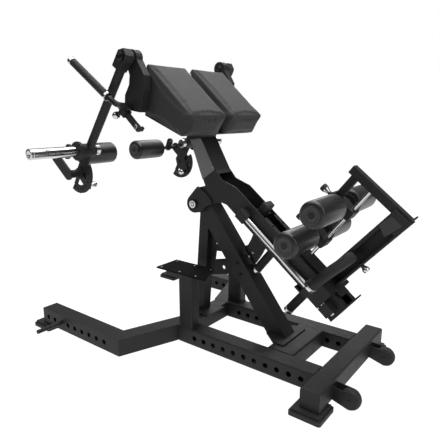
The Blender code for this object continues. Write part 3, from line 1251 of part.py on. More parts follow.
def make_swing_arm(label, side, parent):
    """A swing arm: hub, tube, sleeve boss and the end plate that carries the roller bracket."""
    radius = ARM_DIAMETER / 2
    y = side * ARM_Y
    solid = rod((0.0, y, 0.0), (0.0, y, -ARM_LENGTH), radius)
    hub_low, hub_high = span(side, *ARM_HUB_Y)
    hub = rod((0.0, hub_low, 0.0), (0.0, hub_high, 0.0), ARM_HUB_DIAMETER / 2)
    boss_low, boss_high = span(side, ARM_Y - radius - 0.006, ARM_Y + radius + 0.006)
    boss = rod((0.0, boss_low, -ARM_LENGTH), (0.0, boss_high, -ARM_LENGTH), SLEEVE_DIAMETER / 2 + 0.007)
    block = plate(list(HUB_BLOCK), *span(side, *HUB_BLOCK_Y))
    collar_low, collar_high = span(side, ARM_Y, SLEEVE_COLLAR_Y + SLEEVE_COLLAR)
    tube = rod((0.0, collar_low, -ARM_LENGTH), (0.0, collar_high, -ARM_LENGTH), SLEEVE_DIAMETER / 2 + 0.006)
    disc_low, disc_high = span(side, SLEEVE_COLLAR_Y, SLEEVE_COLLAR_Y + SLEEVE_COLLAR)
    disc = rod((0.0, disc_low, -ARM_LENGTH), (0.0, disc_high, -ARM_LENGTH), SLEEVE_COLLAR_DIAMETER / 2, ROLLER_SIDES)
    plate_outer = QUADRANT_Y - QUADRANT_PLATE / 2 - PLAY
    pin = angle_pin_place()
    half = END_PLATE_WIDTH / 2
    outline = [(-half + 0.004, -ARM_LENGTH), (half - 0.004, -ARM_LENGTH), (half + 0.004, ROLLER_PIVOT[1] + 0.044),
               (pin[0] + 0.010, pin[1] + 0.022), (pin[0] + 0.022, pin[1] - 0.006),
               (pin[0] + 0.002, pin[1] - 0.022), (ROLLER_PIVOT[0], ROLLER_PIVOT[1] - half + 0.004),
               (ROLLER_PIVOT[0] - half, ROLLER_PIVOT[1])]
    end_plate = plate(outline, *span(side, plate_outer - END_PLATE, plate_outer))
    solid = weld(solid, hub, block, boss, tube, disc, end_plate)
    drills = [rod((0.0, side * 0.3, 0.0), (0.0, side * 0.4, 0.0), ARM_SHAFT / 2 + PLAY)]
    drills.append(rod((0.0, side * 0.28, -ARM_LENGTH), (0.0, side * 0.45, -ARM_LENGTH),
                      bore_radius(SLEEVE_DIAMETER / 2 + GAP)))
    for place, size in ((ROLLER_PIVOT, ROLLER_PIVOT_DIAMETER), (pin, PIN_DIAMETER)):
        drills.append(rod((place[0], side * 0.30, place[1]), (place[0], side * 0.40, place[1]),
                          size / 2 + PLAY, HOLE_SIDES if size == PIN_DIAMETER else ROUND_SIDES))
    node(f"swing_arm_{label}", cut(solid, *drills), POWDER, parent)


def angle_pin_place():
    """The angle pin's axis in the arm's frame."""
    return (ROLLER_PIVOT[0] + QUADRANT_HOLE_RADIUS * math.cos(ANGLE_PIN_ANGLE),
            ROLLER_PIVOT[1] + QUADRANT_HOLE_RADIUS * math.sin(ANGLE_PIN_ANGLE))


def make_sleeve(label, side, parent):
    """A weight sleeve pressed through the arm's boss and collar, with its end cap."""
    radius = SLEEVE_DIAMETER / 2
    length = SLEEVE_TIP_Y - SLEEVE_INNER_Y
    collar = SLEEVE_COLLAR_Y + SLEEVE_COLLAR - SLEEVE_INNER_Y
    cap = 0.011
    profile = [(0.0, length), (radius - 0.004, length), (radius, length - 0.003), (radius, length - cap),
               (radius - 0.001, length - cap - 0.001), (radius - 0.001, collar), (radius, collar),
               (radius, 0.003), (radius - 0.003, 0.0), (0.0, 0.0)]
    solid = turned(profile, (0.0, side * SLEEVE_INNER_Y, -ARM_LENGTH), (0, side, 0))
    node(f"sleeve_{label}", solid, CHROME, parent)


def make_roller_bracket(label, side, parent):
    """The bracket that swings the arm roller, laid out about its pivot: quadrant, outer bar, axle, eye lug."""
    pivot = (0.0, 0.0)
    step = QUADRANT_HOLE_STEP
    start = ANGLE_PIN_ANGLE - 4.6 * step
    end = ANGLE_PIN_ANGLE + 4.6 * step
    outline = arc(pivot, QUADRANT_RADIUS, start, end, 12) + arc(pivot, QUADRANT_INNER, end, start, 10)
    holes = []
    for index in range(-4, 5):
        centre = round_pivot(QUADRANT_HOLE_RADIUS, ANGLE_PIN_ANGLE + index * step)
        holes.append(circle(centre, PIN_DIAMETER / 2 + PLAY))
    low, high = span(side, QUADRANT_Y - QUADRANT_PLATE / 2, QUADRANT_Y + QUADRANT_PLATE / 2)
    solid = plate(outline, low, high, holes)
    hub_low, hub_high = span(side, QUADRANT_Y - QUADRANT_PLATE / 2 - PLAY / 2, QUADRANT_Y + QUADRANT_PLATE)
    pieces = [rod((0.0, hub_low, 0.0), (0.0, hub_high, 0.0), QUADRANT_HUB / 2)]
    for angle in (start + 0.10, end - 0.10, ANGLE_PIN_ANGLE + step / 2):
        x, z = round_pivot(QUADRANT_INNER + 0.006, angle)
        spoke = bar((0.0, 0.0, 0.0), (x, 0.0, z), QUADRANT_SPOKE, (high - low) * 0.75)
        spoke.data.transform(Matrix.Translation((0.0, (low + high) / 2, 0.0)))
        pieces.append(spoke)
    inner_face = QUADRANT_Y - QUADRANT_PLATE / 2 - END_PLATE - 2 * PLAY - 0.006
    y_low, y_high = span(side, inner_face, ROLLER_ARM_Y + ROLLER_ARM_BAR / 2)
    pieces.append(rod((0.0, y_low, 0.0), (0.0, y_high, 0.0), ROLLER_PIVOT_DIAMETER / 2))
    tube_low, tube_high = span(side, QUADRANT_Y, ROLLER_ARM_Y + ROLLER_ARM_BAR * 0.4)
    pieces.append(rod((0.0, tube_low, 0.0), (0.0, tube_high, 0.0), PIVOT_TUBE / 2))
    shaft = round_pivot(ROLLER_ARM, ROLLER_ARM_ANGLE)
    bar_low, bar_high = span(side, ROLLER_ARM_Y, ROLLER_ARM_Y + ROLLER_ARM_BAR)
    pieces.append(stadium(pivot, shaft, ROLLER_ARM_WIDTH / 2, bar_low, bar_high))
    axle_low, axle_high = span(side, ARM_ROLLER_INNER_Y, ROLLER_ARM_Y + ROLLER_ARM_BAR / 2)
    pieces.append(rod((shaft[0], axle_low, shaft[1]), (shaft[0], axle_high, shaft[1]), AXLE_DIAMETER / 2))
    lug_low, lug_high = span(side, QUADRANT_Y - 0.011, QUADRANT_Y + 0.003)
    pieces.append(stadium(shaft, EYE_LUG, EYE_LUG_DIAMETER / 2, lug_low, lug_high))
    solid = weld(solid, *pieces)
    hole = rod((EYE_LUG[0], side * 0.30, EYE_LUG[1]), (EYE_LUG[0], side * 0.40, EYE_LUG[1]), EYE_LUG_HOLE / 2,
               HOLE_SIDES)
    node(f"roller_bracket_{label}", cut(solid, hole), POWDER, parent)


def round_pivot(radius, angle):
    """A point (x, z) round the roller bracket's pivot, in the bracket's frame."""
    return radius * math.cos(angle), radius * math.sin(angle)


def make_angle_pin(label, side, parent):
    """The pop-pin that locks the roller bracket to the arm's end plate."""
    pin = angle_pin_place()
    face = QUADRANT_Y - QUADRANT_PLATE / 2 - END_PLATE - PLAY - GAP
    pop_pin(f"angle_pin_{label}", (pin[0], side * face, pin[1]), (0, -side, 0), END_PLATE, parent)


# Assembly

def build_base():
    """The pieces that stand still."""
    make_rear_crossbar()
    make_crossmember("front_crossmember", FRONT_CROSS_X)
    make_crossmember("mid_crossmember", MID_CROSS_X)
    for label, side in SIDES.items():
        make_rail(label, side)
        make_outrigger(label, side)
        make_foot(f"foot_rear_{label}", REAR_FOOT_X, side * REAR_FOOT_Y, FOOT_REAR_SIZE)
        make_foot(f"foot_front_{label}", FRONT_FOOT_X, side * (OUTRIGGER_Y + 0.010), FOOT_FRONT_SIZE)
        make_wheel(label, side)
        make_step(label, side)
    make_web()
    make_brace()
    make_upright()
    make_pivot_shaft()
    make_selector_pin()


def build_beam(hinge):
    """The tilting beam and what is fixed to it."""
    make_main_beam(hinge)
    make_name_plate(hinge)
    make_selector_plate(hinge)
    make_bumper(hinge)
    make_pull_grip("beam_grip", BEAM_GRIP_PLACE, BEAM_BOTTOM + NECK_INSET - GAP, BEAM_GRIP_TIP, hinge)
    for label, side in SIDES.items():
        make_guide_rod(label, side, hinge)


def build_carriage(hinge):
    """The foot carriage with its roller blocks, rollers and pins."""
    carriage = joint("carriage_slide", hinge)
    make_foot_carriage(carriage)
    make_slide_rod(carriage)
    make_pull_grip("carriage_grip", CARRIAGE_GRIP_PLACE, CARRIAGE_FLOOR - GAP, CARRIAGE_GRIP_TIP, carriage)
    for level, height in ROLLER_HEIGHTS.items():
        slide = joint(f"{level}_block_slide", carriage)
        make_roller_block(level, slide)
        for label, side in SIDES.items():
            roller(f"{level}_roller_{label}", (ROLLER_PLACE, height), side, slide)
        start = STRUT_PLACE - BLOCK_WALL - GAP
        pop_pin(f"{level}_block_pin", (start, 0.0, height), (-1, 0, 0), BLOCK_WALL - PLAY, slide)
    rear = FOOT_ARM_PLACE + FOOT_ARM_DEPTH + lean_shift(FOOT_PIN_HEIGHT + PIN_BODY_DIAMETER / 2)
    pop_pin("foot_arm_pin", (rear + GAP, 0.0, FOOT_PIN_HEIGHT), (1, 0, 0), 0.018, carriage, FOOT_PIN_BODY)


def build_head(mount):
    """The pads, their frame, the hand grips and the swing arms."""
    make_pad_frame(mount)
    for label, side in SIDES.items():
        node(f"pad_{label}", pad_solid(side), VINYL, mount)
        make_arm_shaft(label, side, mount)
        make_hand_grip(label, side, mount)
        place = Matrix.Translation((ARM_HINGE_X, 0.0, ARM_HINGE_Z)) @ Matrix.Rotation(ARM_LEAN, 4, 'Y')
        hinge = joint(f"{label}_arm_hinge", mount, place)
        make_swing_arm(label, side, hinge)
        make_sleeve(label, side, hinge)
        swing = joint(f"{label}_bracket_hinge", hinge, Matrix.Translation((ROLLER_PIVOT[0], 0.0, ROLLER_PIVOT[1])))
        make_roller_bracket(label, side, swing)
        shaft = round_pivot(ROLLER_ARM, ROLLER_ARM_ANGLE)
        roller(f"arm_roller_{label}", shaft, side, swing, ARM_ROLLER_INNER_Y)
        make_angle_pin(label, side, hinge)


def build():
    """Builds the whole machine."""
    build_base()
    hinge = joint("beam_hinge", None, BEAM_FRAME)
    build_beam(hinge)
    build_carriage(hinge)
    build_head(joint("pad_mount", hinge, BEAM_FRAME.inverted()))
    bpy.data.collections.remove(BENCH)
    bpy.context.view_layer.update()


build()
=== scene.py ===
"""The looks of a glute ham developer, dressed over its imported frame.

Lengths are in metres. X runs from the front feet to the wheels, the near side is -Y and Z is up.
"""

import json
import logging
import math
from dataclasses import dataclass, field
from enum import Enum
from typing import Any, Sequence

import bmesh
import bpy
import numpy as np
from mathutils import Matrix, Vector

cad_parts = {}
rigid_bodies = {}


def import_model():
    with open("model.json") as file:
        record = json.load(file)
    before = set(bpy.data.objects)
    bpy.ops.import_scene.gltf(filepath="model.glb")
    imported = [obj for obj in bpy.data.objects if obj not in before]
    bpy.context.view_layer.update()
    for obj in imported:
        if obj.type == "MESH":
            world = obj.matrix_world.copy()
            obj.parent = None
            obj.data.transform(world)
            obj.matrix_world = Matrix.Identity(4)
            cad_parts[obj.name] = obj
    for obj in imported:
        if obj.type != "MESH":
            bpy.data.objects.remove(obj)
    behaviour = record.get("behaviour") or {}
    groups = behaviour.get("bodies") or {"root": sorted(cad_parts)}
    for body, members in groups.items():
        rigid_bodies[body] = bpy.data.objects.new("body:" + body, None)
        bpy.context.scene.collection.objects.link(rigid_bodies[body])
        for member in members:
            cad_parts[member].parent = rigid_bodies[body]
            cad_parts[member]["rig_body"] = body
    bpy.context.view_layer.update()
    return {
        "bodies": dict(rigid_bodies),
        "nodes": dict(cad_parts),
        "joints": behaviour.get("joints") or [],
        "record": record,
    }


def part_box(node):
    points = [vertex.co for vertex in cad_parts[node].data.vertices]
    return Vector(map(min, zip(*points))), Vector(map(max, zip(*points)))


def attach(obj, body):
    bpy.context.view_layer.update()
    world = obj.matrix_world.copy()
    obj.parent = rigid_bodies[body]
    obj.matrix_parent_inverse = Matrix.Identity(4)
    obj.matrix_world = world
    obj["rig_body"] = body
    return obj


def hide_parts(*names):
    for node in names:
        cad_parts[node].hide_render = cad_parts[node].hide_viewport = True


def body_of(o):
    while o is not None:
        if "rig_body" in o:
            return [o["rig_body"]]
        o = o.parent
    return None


Pairs = Sequence[tuple[float, float]]
LOG = logging.getLogger("glute_ham_developer")
TURN = 2.0 * math.pi
BEAM_PIVOT = Vector((-0.1297, 0.0, 0.6655))
BEAM_SLOPE = math.radians(38.5)
ARM_HINGE = Vector((-0.2442, 0.0, 1.3134))
ARM_LEAN = math.radians(35.8)
ACROSS = Vector((0.0, 1.0, 0.0))
UP = Vector((0.0, 0.0, 1.0))
GUIDE_ROD_HEIGHT = 0.168    # of both guide rods, square to the beam
GUIDE_ROD_Y = 0.070


class Side(Enum):
    """A side of the machine. The value is the sign of its Y."""

    NEAR = -1
    FAR = 1

    @property
    def label(self) -> str:
        """The word that ends the names of this side's pieces."""
        return self.name.lower()


class Slot(Enum):
    """The record's material slots."""

    POWDER = "powder"
    VINYL = "vinyl"
    FOAM = "foam"
    RUBBER = "rubber"
    CHROME = "chrome"
    KNURLED = "knurled_black"
    PLATE = "plate_grey"


# Places

def beam_point(along: float, up: float, across: float = 0.0) -> Vector:
    """A point given in the sloping beam's own frame.

    Args:
        along: Distance down the beam from its pivot.
        up: Height square to the beam.
        across: The Y of the point.

    Returns:
        The point in the machine's frame.
    """
    return BEAM_PIVOT + Vector((along, across, up)) @ Matrix.Rotation(-BEAM_SLOPE, 3, "Y")


def arm_point(out: float, up: float, across: float = 0.0) -> Vector:
    """A point given in the hanging arm's own frame, where Z runs up the arm to its hinge."""
    return ARM_HINGE + Vector((out, across, up)) @ Matrix.Rotation(-ARM_LEAN, 3, "Y")


BEAM_ALONG = (beam_point(1.0, 0.0) - BEAM_PIVOT).normalized()
BEAM_UP = (beam_point(0.0, 1.0) - BEAM_PIVOT).normalized()


# Shader graphs

class Wire:
    """One output of a shader node, or a plain number, that can be used in arithmetic."""

    def __init__(self, graph: "Graph", socket: Any) -> None:
        """Keeps the graph that new Math nodes go into, and the socket."""
        self.graph = graph
        self.socket = socket

    def _math(self, operation: str, *values: Any) -> "Wire":
        """Adds a Math node.

        Args:
            operation: The Math node's operation.
            values: Its inputs in order, as wires or numbers.

        Returns:
            The node's result.
        """
        return self.graph.node("Math", dict(enumerate(values)), operation=operation)

    def __add__(self, other: Any) -> "Wire":
        """Sum."""
        return self._math("ADD", self, other)

    def __sub__(self, other: Any) -> "Wire":
        """Difference."""
        return self._math("SUBTRACT", self, other)

    def __rsub__(self, other: Any) -> "Wire":
        """Difference, the other way round."""
        return self._math("SUBTRACT", other, self)

    def __mul__(self, other: Any) -> "Wire":
        """Product."""
        return self._math("MULTIPLY", self, other)

    def __abs__(self) -> "Wire":
        """Size without its sign."""
        return self._math("ABSOLUTE", self)

    def wave(self) -> "Wire":
        """Sine."""
        return self._math("SINE", self)

    def clip(self) -> "Wire":
        """The value kept between 0 and 1."""
        return self.graph.node("Clamp", {"Value": self})


class Graph:
    """The node tree of one material, or of the world."""

    def __init__(self, owner: bpy.types.Material | bpy.types.World) -> None:
        """Empties the owner's tree.

        Args:
            owner: The material or world whose tree is built.
        """
        owner.use_nodes = True
        self.owner = owner
        self.tree = owner.node_tree
        self.tree.nodes.clear()

    def node(self, kind: str, inputs: dict[Any, Any] | None = None, output: Any = 0,
             stops: Sequence[tuple[float, tuple[float, float, float]]] = (), **settings: Any) -> Wire:
        """Adds one node.

        Args:
            kind: The node's type without its ShaderNode prefix.
            inputs: Values or wires by the socket's name or number.
            output: Name or number of the output to return.
            stops: Places and colours of a ramp's stops.
            settings: The node's own settings, set before its sockets.

        Returns:
            The chosen output.
        """
        made = self.tree.nodes.new("ShaderNode" + kind)
        for key, value in settings.items():
            setattr(made, key, value)
        for index, (place, colour) in enumerate(stops):
            element = made.color_ramp.elements[index] if index < 2 else made.color_ramp.elements.new(place)
            element.position = place
            element.color = (*colour, 1.0)
        for key, value in (inputs or {}).items():
            if isinstance(value, Wire):
                self.tree.links.new(value.socket, made.inputs[key])
            else:
                made.inputs[key].default_value = value
        return Wire(self, made.outputs[output])

    def place(self, stretch: tuple[float, float, float] = (1.0, 1.0, 1.0)) -> Wire:
        """Object coordinates, stretched along the axes."""
        coordinates = self.node("TexCoord", output="Object")
        return self.node("Mapping", {"Vector": coordinates, "Scale": stretch})

    def noise(self, vector: Wire, size: float, detail: float = 2.0) -> Wire:
        """Noise from 0 to 1 whose features are about one size across."""
        return self.node("TexNoise", {"Vector": vector, "Scale": 1.0 / size, "Detail": detail})

    def blend(self, factor: Wire, low: Any, high: Any) -> Wire:
        """A colour between two colours."""
        return self.node("Mix", {0: factor, 6: colour4(low), 7: colour4(high)}, output=2, data_type="RGBA")

    def bump(self, height: Wire, depth: float, strength: float, normal: Wire | None = None) -> Wire:
        """A surface normal raised by a height from 0 to 1 over a depth.

        Args:
            height: The relief, from 0 to 1.
            depth: How far the relief rises.
            strength: How strongly it turns the normal.
            normal: The normal to start from, or None for the surface's own.

        Returns:
            The new normal.
        """
        inputs = {"Height": height, "Distance": depth, "Strength": strength}
        if normal is not None:
            inputs["Normal"] = normal
        return self.node("Bump", inputs)

    def output(self, shader: Wire) -> bpy.types.Material | bpy.types.World:
        """Joins a shader to the tree's output.

        Args:
            shader: The shader to show.

        Returns:
            The tree's owner.
        """
        kind = "OutputWorld" if isinstance(self.owner, bpy.types.World) else "OutputMaterial"
        end = self.tree.nodes.new("ShaderNode" + kind)
        self.tree.links.new(shader.socket, end.inputs["Surface"])
        return self.owner


def colour4(value: Any) -> Any:
    """A colour with its alpha, or the wire as it is."""
    return value if isinstance(value, Wire) else (*value, 1.0)


def times(colour: tuple[float, float, float], factor: float) -> tuple[float, float, float]:
    """A colour made lighter or darker."""
    return tuple(min(1.0, part * factor) for part in colour)


# Finishes

WHITE = (1.0, 1.0, 1.0, 1.0)
DRIFT_SIZE = 0.09        # of the slow change of colour over a piece
FLECK_SIZE = 0.004       # of the fine change of colour
DRIFT_SHARE = 0.75       # of the slow change beside the fine one
CLOUDY = 3.0             # detail of the slow noises
EDGE_SAMPLES = 6         # of the node that softens edges
SMEAR_SIZE = 0.035       # of the change of roughness
SMEAR_REACH = 0.14       # from the smoothest to the roughest place
WEAR_SIZE = 0.006        # of the patches on worn edges
WEAR_GAIN = 7.0          # of an edge's turn into wear
WEAR_PATCH = (1.6, 0.35)    # slope and start of the patches
WEAR_LIGHT = 5.0         # how much lighter a worn edge is
WEAR_POLISH = 0.08       # how much smoother a worn edge is


@dataclass(frozen=True)
class Finish:
    """What every finish has.

    The colour drifts by a share of itself, grain is the size of the relief, depth and strength are
    those of its bump, worn is how far edges wear and edge is the radius that softens them.
    """

    name: str
    slot: Slot
    colour: tuple[float, float, float]
    roughness: float
    metallic: float = 0.0
    grain: float = 0.0009
    depth: float = 0.00025
    strength: float = 0.25
    drift: float = 0.10
    worn: float = 0.0
    sheen: float = 0.0
    edge: float = 0.0
    shine: float = 0.5

    def height(self, graph: Graph) -> Wire:
        """The relief of the finish, from 0 to 1: fine grain."""
        return graph.noise(graph.place(), self.grain)

    def tint(self, graph: Graph) -> Wire:
        """The colour, which drifts slowly over a piece.

        Args:
            graph: The tree to add to.

        Returns:
            The colour.
        """
        slow = graph.noise(graph.place(), DRIFT_SIZE, CLOUDY)
        fine = graph.noise(graph.place(), FLECK_SIZE)
        factor = (slow * DRIFT_SHARE + fine * (1.0 - DRIFT_SHARE)).clip()
        return graph.blend(factor, times(self.colour, 1.0 - self.drift), times(self.colour, 1.0 + self.drift))

    def material(self) -> bpy.types.Material:
        """Makes the finish's material, with softened and slightly worn edges where it asks for them.

        Returns:
            The material.
        """
        graph = Graph(bpy.data.materials.new(self.name))
        base = self.tint(graph)
        smear = graph.noise(graph.place(), SMEAR_SIZE, CLOUDY)
        rough = smear * SMEAR_REACH + (self.roughness - SMEAR_REACH / 2)
        soft = None
        if self.edge > 0.0:
            soft = graph.node("Bevel", {"Radius": self.edge}, samples=EDGE_SAMPLES)
            true = graph.node("NewGeometry", output="True Normal")
            match = graph.node("VectorMath", {0: soft, 1: true}, output="Value", operation="DOT_PRODUCT")
            slope, start = WEAR_PATCH
            patchy = graph.noise(graph.place(), WEAR_SIZE, CLOUDY) * slope - start
            mask = ((1.0 - match) * WEAR_GAIN * patchy).clip() * self.worn
            base = graph.blend(mask, base, times(self.colour, WEAR_LIGHT))
            rough = rough - mask * WEAR_POLISH
        normal = graph.bump(self.height(graph), self.depth, self.strength, soft)
        shader = graph.node("BsdfPrincipled", {
            "Base Color": base, "Roughness": rough, "Metallic": self.metallic, "Normal": normal,
            "Specular IOR Level": self.shine, "Sheen Weight": self.sheen,
        })
        return graph.output(shader)


@dataclass(frozen=True)
class Upholstery(Finish):
    """Coated upholstery with a leather grain."""

    cell_gain: float = 2.2
    cell_share: float = 0.7
    leather: float = 0.8
    fold_size: float = 0.05
    fold: float = 0.6

    def height(self, graph: Graph) -> Wire:
        """Rounded cells with fine creases between them, over slow soft folds.

        Args:
            graph: The tree to add to.

        Returns:
            The relief.
        """
        place = graph.place()
        cells = graph.node("TexVoronoi", {"Vector": place, "Scale": 1.0 / self.grain, "Randomness": 0.9},
                           output="Distance", feature="DISTANCE_TO_EDGE")
        folds = graph.noise(place, self.fold_size)
        creases = (cells * self.cell_gain).clip() * self.cell_share
        fine = graph.noise(place, self.grain / 2) * (1.0 - self.cell_share)
        return (creases + fine) * self.leather + folds * self.fold


@dataclass(frozen=True)
class Knurl(Finish):
    """Steel with a diamond knurl, laid on the piece's own map in metres round and along."""

    pitch: float = 0.0022

    def height(self, graph: Graph) -> Wire:
        """Two crossing sets of ridges: sin(a + b) and sin(a - b), multiplied.

        Args:
            graph: The tree to add to.

        Returns:
            The relief.
        """
        place = graph.node("UVMap", uv_map="metres")
        turns = TURN / self.pitch / 2.0
        around = graph.node("SeparateXYZ", {0: place}, output="X") * turns
        along = graph.node("SeparateXYZ", {0: place}, output="Y") * turns
        return abs((around + along).wave()) * abs((around - along).wave())


@dataclass(frozen=True)
class Brushed(Finish):
    """Bare metal brushed along one axis."""

    stretch: float = 0.03

    def height(self, graph: Graph) -> Wire:
        """Noise drawn out into long fine scratches along X."""
        return graph.noise(graph.place((self.stretch, 1.0, 1.0)), self.grain)


POWDER = Finish("powder_coat", Slot.POWDER, (0.0165, 0.0167, 0.0172), 0.55, grain=0.0011, depth=0.0003,
                strength=0.30, drift=0.16, worn=0.35, edge=0.0016, shine=0.32)
VINYL = Upholstery("matte_upholstery", Slot.VINYL, (0.034, 0.0343, 0.0348), 0.68, grain=0.0021,
                   depth=0.0004, strength=0.30, drift=0.08, sheen=0.12, shine=0.26)
FOAM = Finish("roller_foam", Slot.FOAM, (0.0090, 0.0091, 0.0095), 0.36, grain=0.0016, depth=0.0003,
              strength=0.22, drift=0.12, sheen=0.05)
CAP = Finish("roller_cap", Slot.FOAM, (0.030, 0.030, 0.031), 0.45, grain=0.0007, depth=0.0001, strength=0.2)
RUBBER = Finish("moulded_rubber", Slot.RUBBER, (0.013, 0.013, 0.0135), 0.68, grain=0.0012, depth=0.0003,
                strength=0.35, edge=0.0010)
CHROME = Finish("bright_chrome", Slot.CHROME, (0.60, 0.60, 0.61), 0.15, metallic=1.0, grain=0.0020,
                depth=0.00002, strength=0.05, drift=0.05)
PANEL = Finish("satin_panel", Slot.POWDER, (0.040, 0.0405, 0.0415), 0.50, grain=0.0011, depth=0.0003,
               strength=0.3, drift=0.12, edge=0.0012, shine=0.4)
TREAD = Finish("tread_coat", Slot.POWDER, (0.0075, 0.0076, 0.0078), 0.85, grain=0.0009, depth=0.0004,
               strength=0.4, drift=0.12, edge=0.0012, worn=0.20, shine=0.10)
STEEL = Knurl("knurled_steel", Slot.KNURLED, (0.020, 0.020, 0.021), 0.40, metallic=0.55, depth=0.0006,
              strength=0.8, drift=0.10)
TUBE_STEEL = Finish("black_tube_steel", Slot.KNURLED, (0.014, 0.014, 0.015), 0.36, metallic=0.3, grain=0.0012,
                    depth=0.0002, strength=0.2, edge=0.0010)
BOLT = Finish("black_bolt", Slot.POWDER, (0.022, 0.022, 0.023), 0.34, metallic=0.75, grain=0.0008,
              depth=0.0001, strength=0.2)
ZINC = Finish("zinc_bolt", Slot.CHROME, (0.40, 0.40, 0.41), 0.30, metallic=1.0, grain=0.0010, depth=0.00006,
              strength=0.15)
PLATE = Brushed("bare_plate", Slot.PLATE, (0.185, 0.186, 0.190), 0.50, metallic=0.15, grain=0.0008,
                depth=0.0001, strength=0.25, edge=0.0008)
PLUG = Finish("tube_plug", Slot.RUBBER, (0.010, 0.010, 0.0105), 0.55, grain=0.0010, depth=0.0002,
              strength=0.3, edge=0.0008)
SLOT_FINISH = {
    Slot.POWDER: POWDER, Slot.VINYL: VINYL, Slot.FOAM: FOAM, Slot.RUBBER: RUBBER, Slot.CHROME: CHROME,
    Slot.KNURLED: TUBE_STEEL, Slot.PLATE: PLATE,
}
NODE_FINISH = {"step_tread": TREAD}
_MATERIALS: dict[str, bpy.types.Material] = {}


def coat(finish: Finish) -> bpy.types.Material:
    """The finish's material, made once.

    Args:
        finish: The finish.

    Returns:
        Its material.
    """
    if finish.name not in _MATERIALS:
        _MATERIALS[finish.name] = finish.material()
    return _MATERIALS[finish.name]


# Surfaces

MOSTLY_Y = 0.9              # above this an axis counts as running along Y
NEARLY_Y = 0.98             # above this a path runs too close to Y for Y to guide its rings
SWEEP_GUIDE_Y = np.array([0.0, 1.0, 0.0])
SWEEP_GUIDE_OTHER = np.array([0.31, 0.21, 0.93])
EDGE_ANGLE = math.radians(35.0)     # steeper edges are bevelled
SHARP = 40.0                # steeper edges of a turned or joined piece stay sharp, in degrees
PLATE_SHARP = 30.0
MERGE = 1e-6                # points nearer than this are one


def basis(axis: Vector) -> np.ndarray:
    """Three square unit rows, of which the last is the axis.

    Args:
        axis: The direction of the last row.

    Returns:
        The rows.
    """
    axis = Vector(axis).normalized()
    start = ACROSS if abs(axis.y) < MOSTLY_Y else UP
    across = start.cross(axis).normalized()
    return np.array([across, axis.cross(across), axis])


def grid_piece(name: str, points: np.ndarray, wrap: bool = True, uv: np.ndarray | None = None,
               sharp: float = SHARP) -> bpy.types.Object:
    """A mesh over a grid of points, with coincident rows merged.

    Args:
        name: The piece's name.
        points: Rows of points, as rows x columns x 3.
        wrap: True where the last column joins the first.
        uv: Rows of map places for each point, with one more column than points where it wraps.
        sharp: Edges steeper than this, in degrees, stay sharp.

    Returns:
        The new object.
    """
    rows, columns = points.shape[:2]
    last = columns if wrap else columns - 1
    row, column = np.meshgrid(np.arange(rows - 1), np.arange(last), indexing="ij")
    after = (column + 1) % columns
    corners = [(row, column), (row, after), (row + 1, after), (row + 1, column)]
    faces = np.stack([r * columns + c for r, c in corners], axis=-1).reshape(-1, 4)
    mesh = bpy.data.meshes.new(name)
    mesh.from_pydata(points.reshape(-1, 3), [], faces)
    if uv is not None:
        flat = [(row, column), (row, column + 1), (row + 1, column + 1), (row + 1, column)]
        layer = mesh.uv_layers.new(name="metres")
        places = np.stack([uv[r, c] for r, c in flat], axis=2).reshape(-1, 2)
        layer.data.foreach_set("uv", places.ravel())
    return close(name, mesh, sharp)


def close(name: str, mesh: bpy.types.Mesh, sharp: float) -> bpy.types.Object:
    """Merges doubles, drops empty faces, turns faces outwards and shades by angle.

    Args:
        name: The piece's name.
        mesh: Its mesh.
        sharp: Edges steeper than this, in degrees, stay sharp.

    Returns:
        The new object.
    """
    work = bmesh.new()
    work.from_mesh(mesh)
    bmesh.ops.remove_doubles(work, verts=work.verts, dist=MERGE)
    bmesh.ops.dissolve_degenerate(work, edges=work.edges, dist=MERGE)
    bmesh.ops.recalc_face_normals(work, faces=work.faces)
    work.to_mesh(mesh)
    work.free()
    mesh.shade_smooth()
    mesh.set_sharp_from_angle(angle=math.radians(sharp))
    piece = bpy.data.objects.new(name, mesh)
    bpy.context.scene.collection.objects.link(piece)
    return piece


def turned_points(profile: Pairs, base: Vector, axis: Vector, sides: int = 40) -> np.ndarray:
    """Points of a profile turned round an axis: base + r cos(t) u + r sin(t) v + h axis.

    Args:
        profile: (radius, height) pairs in order.
        base: Where height 0 lies on the axis.
        axis: The direction of height.
        sides: Points round the axis.

    Returns:
        Rows of points, one row for each pair.
    """
    frame = basis(axis)
    pairs = np.array(profile, dtype=float)
    angle = np.linspace(0.0, TURN, sides, endpoint=False)
    ring = np.cos(angle)[:, None] * frame[0] + np.sin(angle)[:, None] * frame[1]
    return np.array(base) + pairs[:, None, :1] * ring[None] + pairs[:, None, 1:] * frame[2]


def rounded(profile: Pairs, radius: float, steps: int = 4) -> list[tuple[float, float]]:
    """Rounds inner corners by (1 - t)^2 start + 2t (1 - t) corner + t^2 end.

    Args:
        profile: (radius, height) pairs in order.
        radius: How far from a corner its curve starts.
        steps: Steps along each curve.

    Returns:
        The pairs of the rounded profile.
    """
    pairs = [np.array(pair, dtype=float) for pair in profile]
    out = [tuple(pairs[0])]
    for before, corner, after in zip(pairs, pairs[1:], pairs[2:]):
        to, on = before - corner, after - corner
        cut = min(radius, np.linalg.norm(to) / 2.01, np.linalg.norm(on) / 2.01)
        start = corner + to / np.linalg.norm(to) * cut
        end = corner + on / np.linalg.norm(on) * cut
        t = np.linspace(0.0, 1.0, steps + 1)[:, None]
        out += [tuple(pair) for pair in (1 - t) ** 2 * start + 2 * t * (1 - t) * corner + t ** 2 * end]
    return out + [tuple(pairs[-1])]


def looped(profile: Pairs) -> list[tuple[float, float]]:
    """The profile, closed by its first pair."""
    return [*profile, profile[0]]


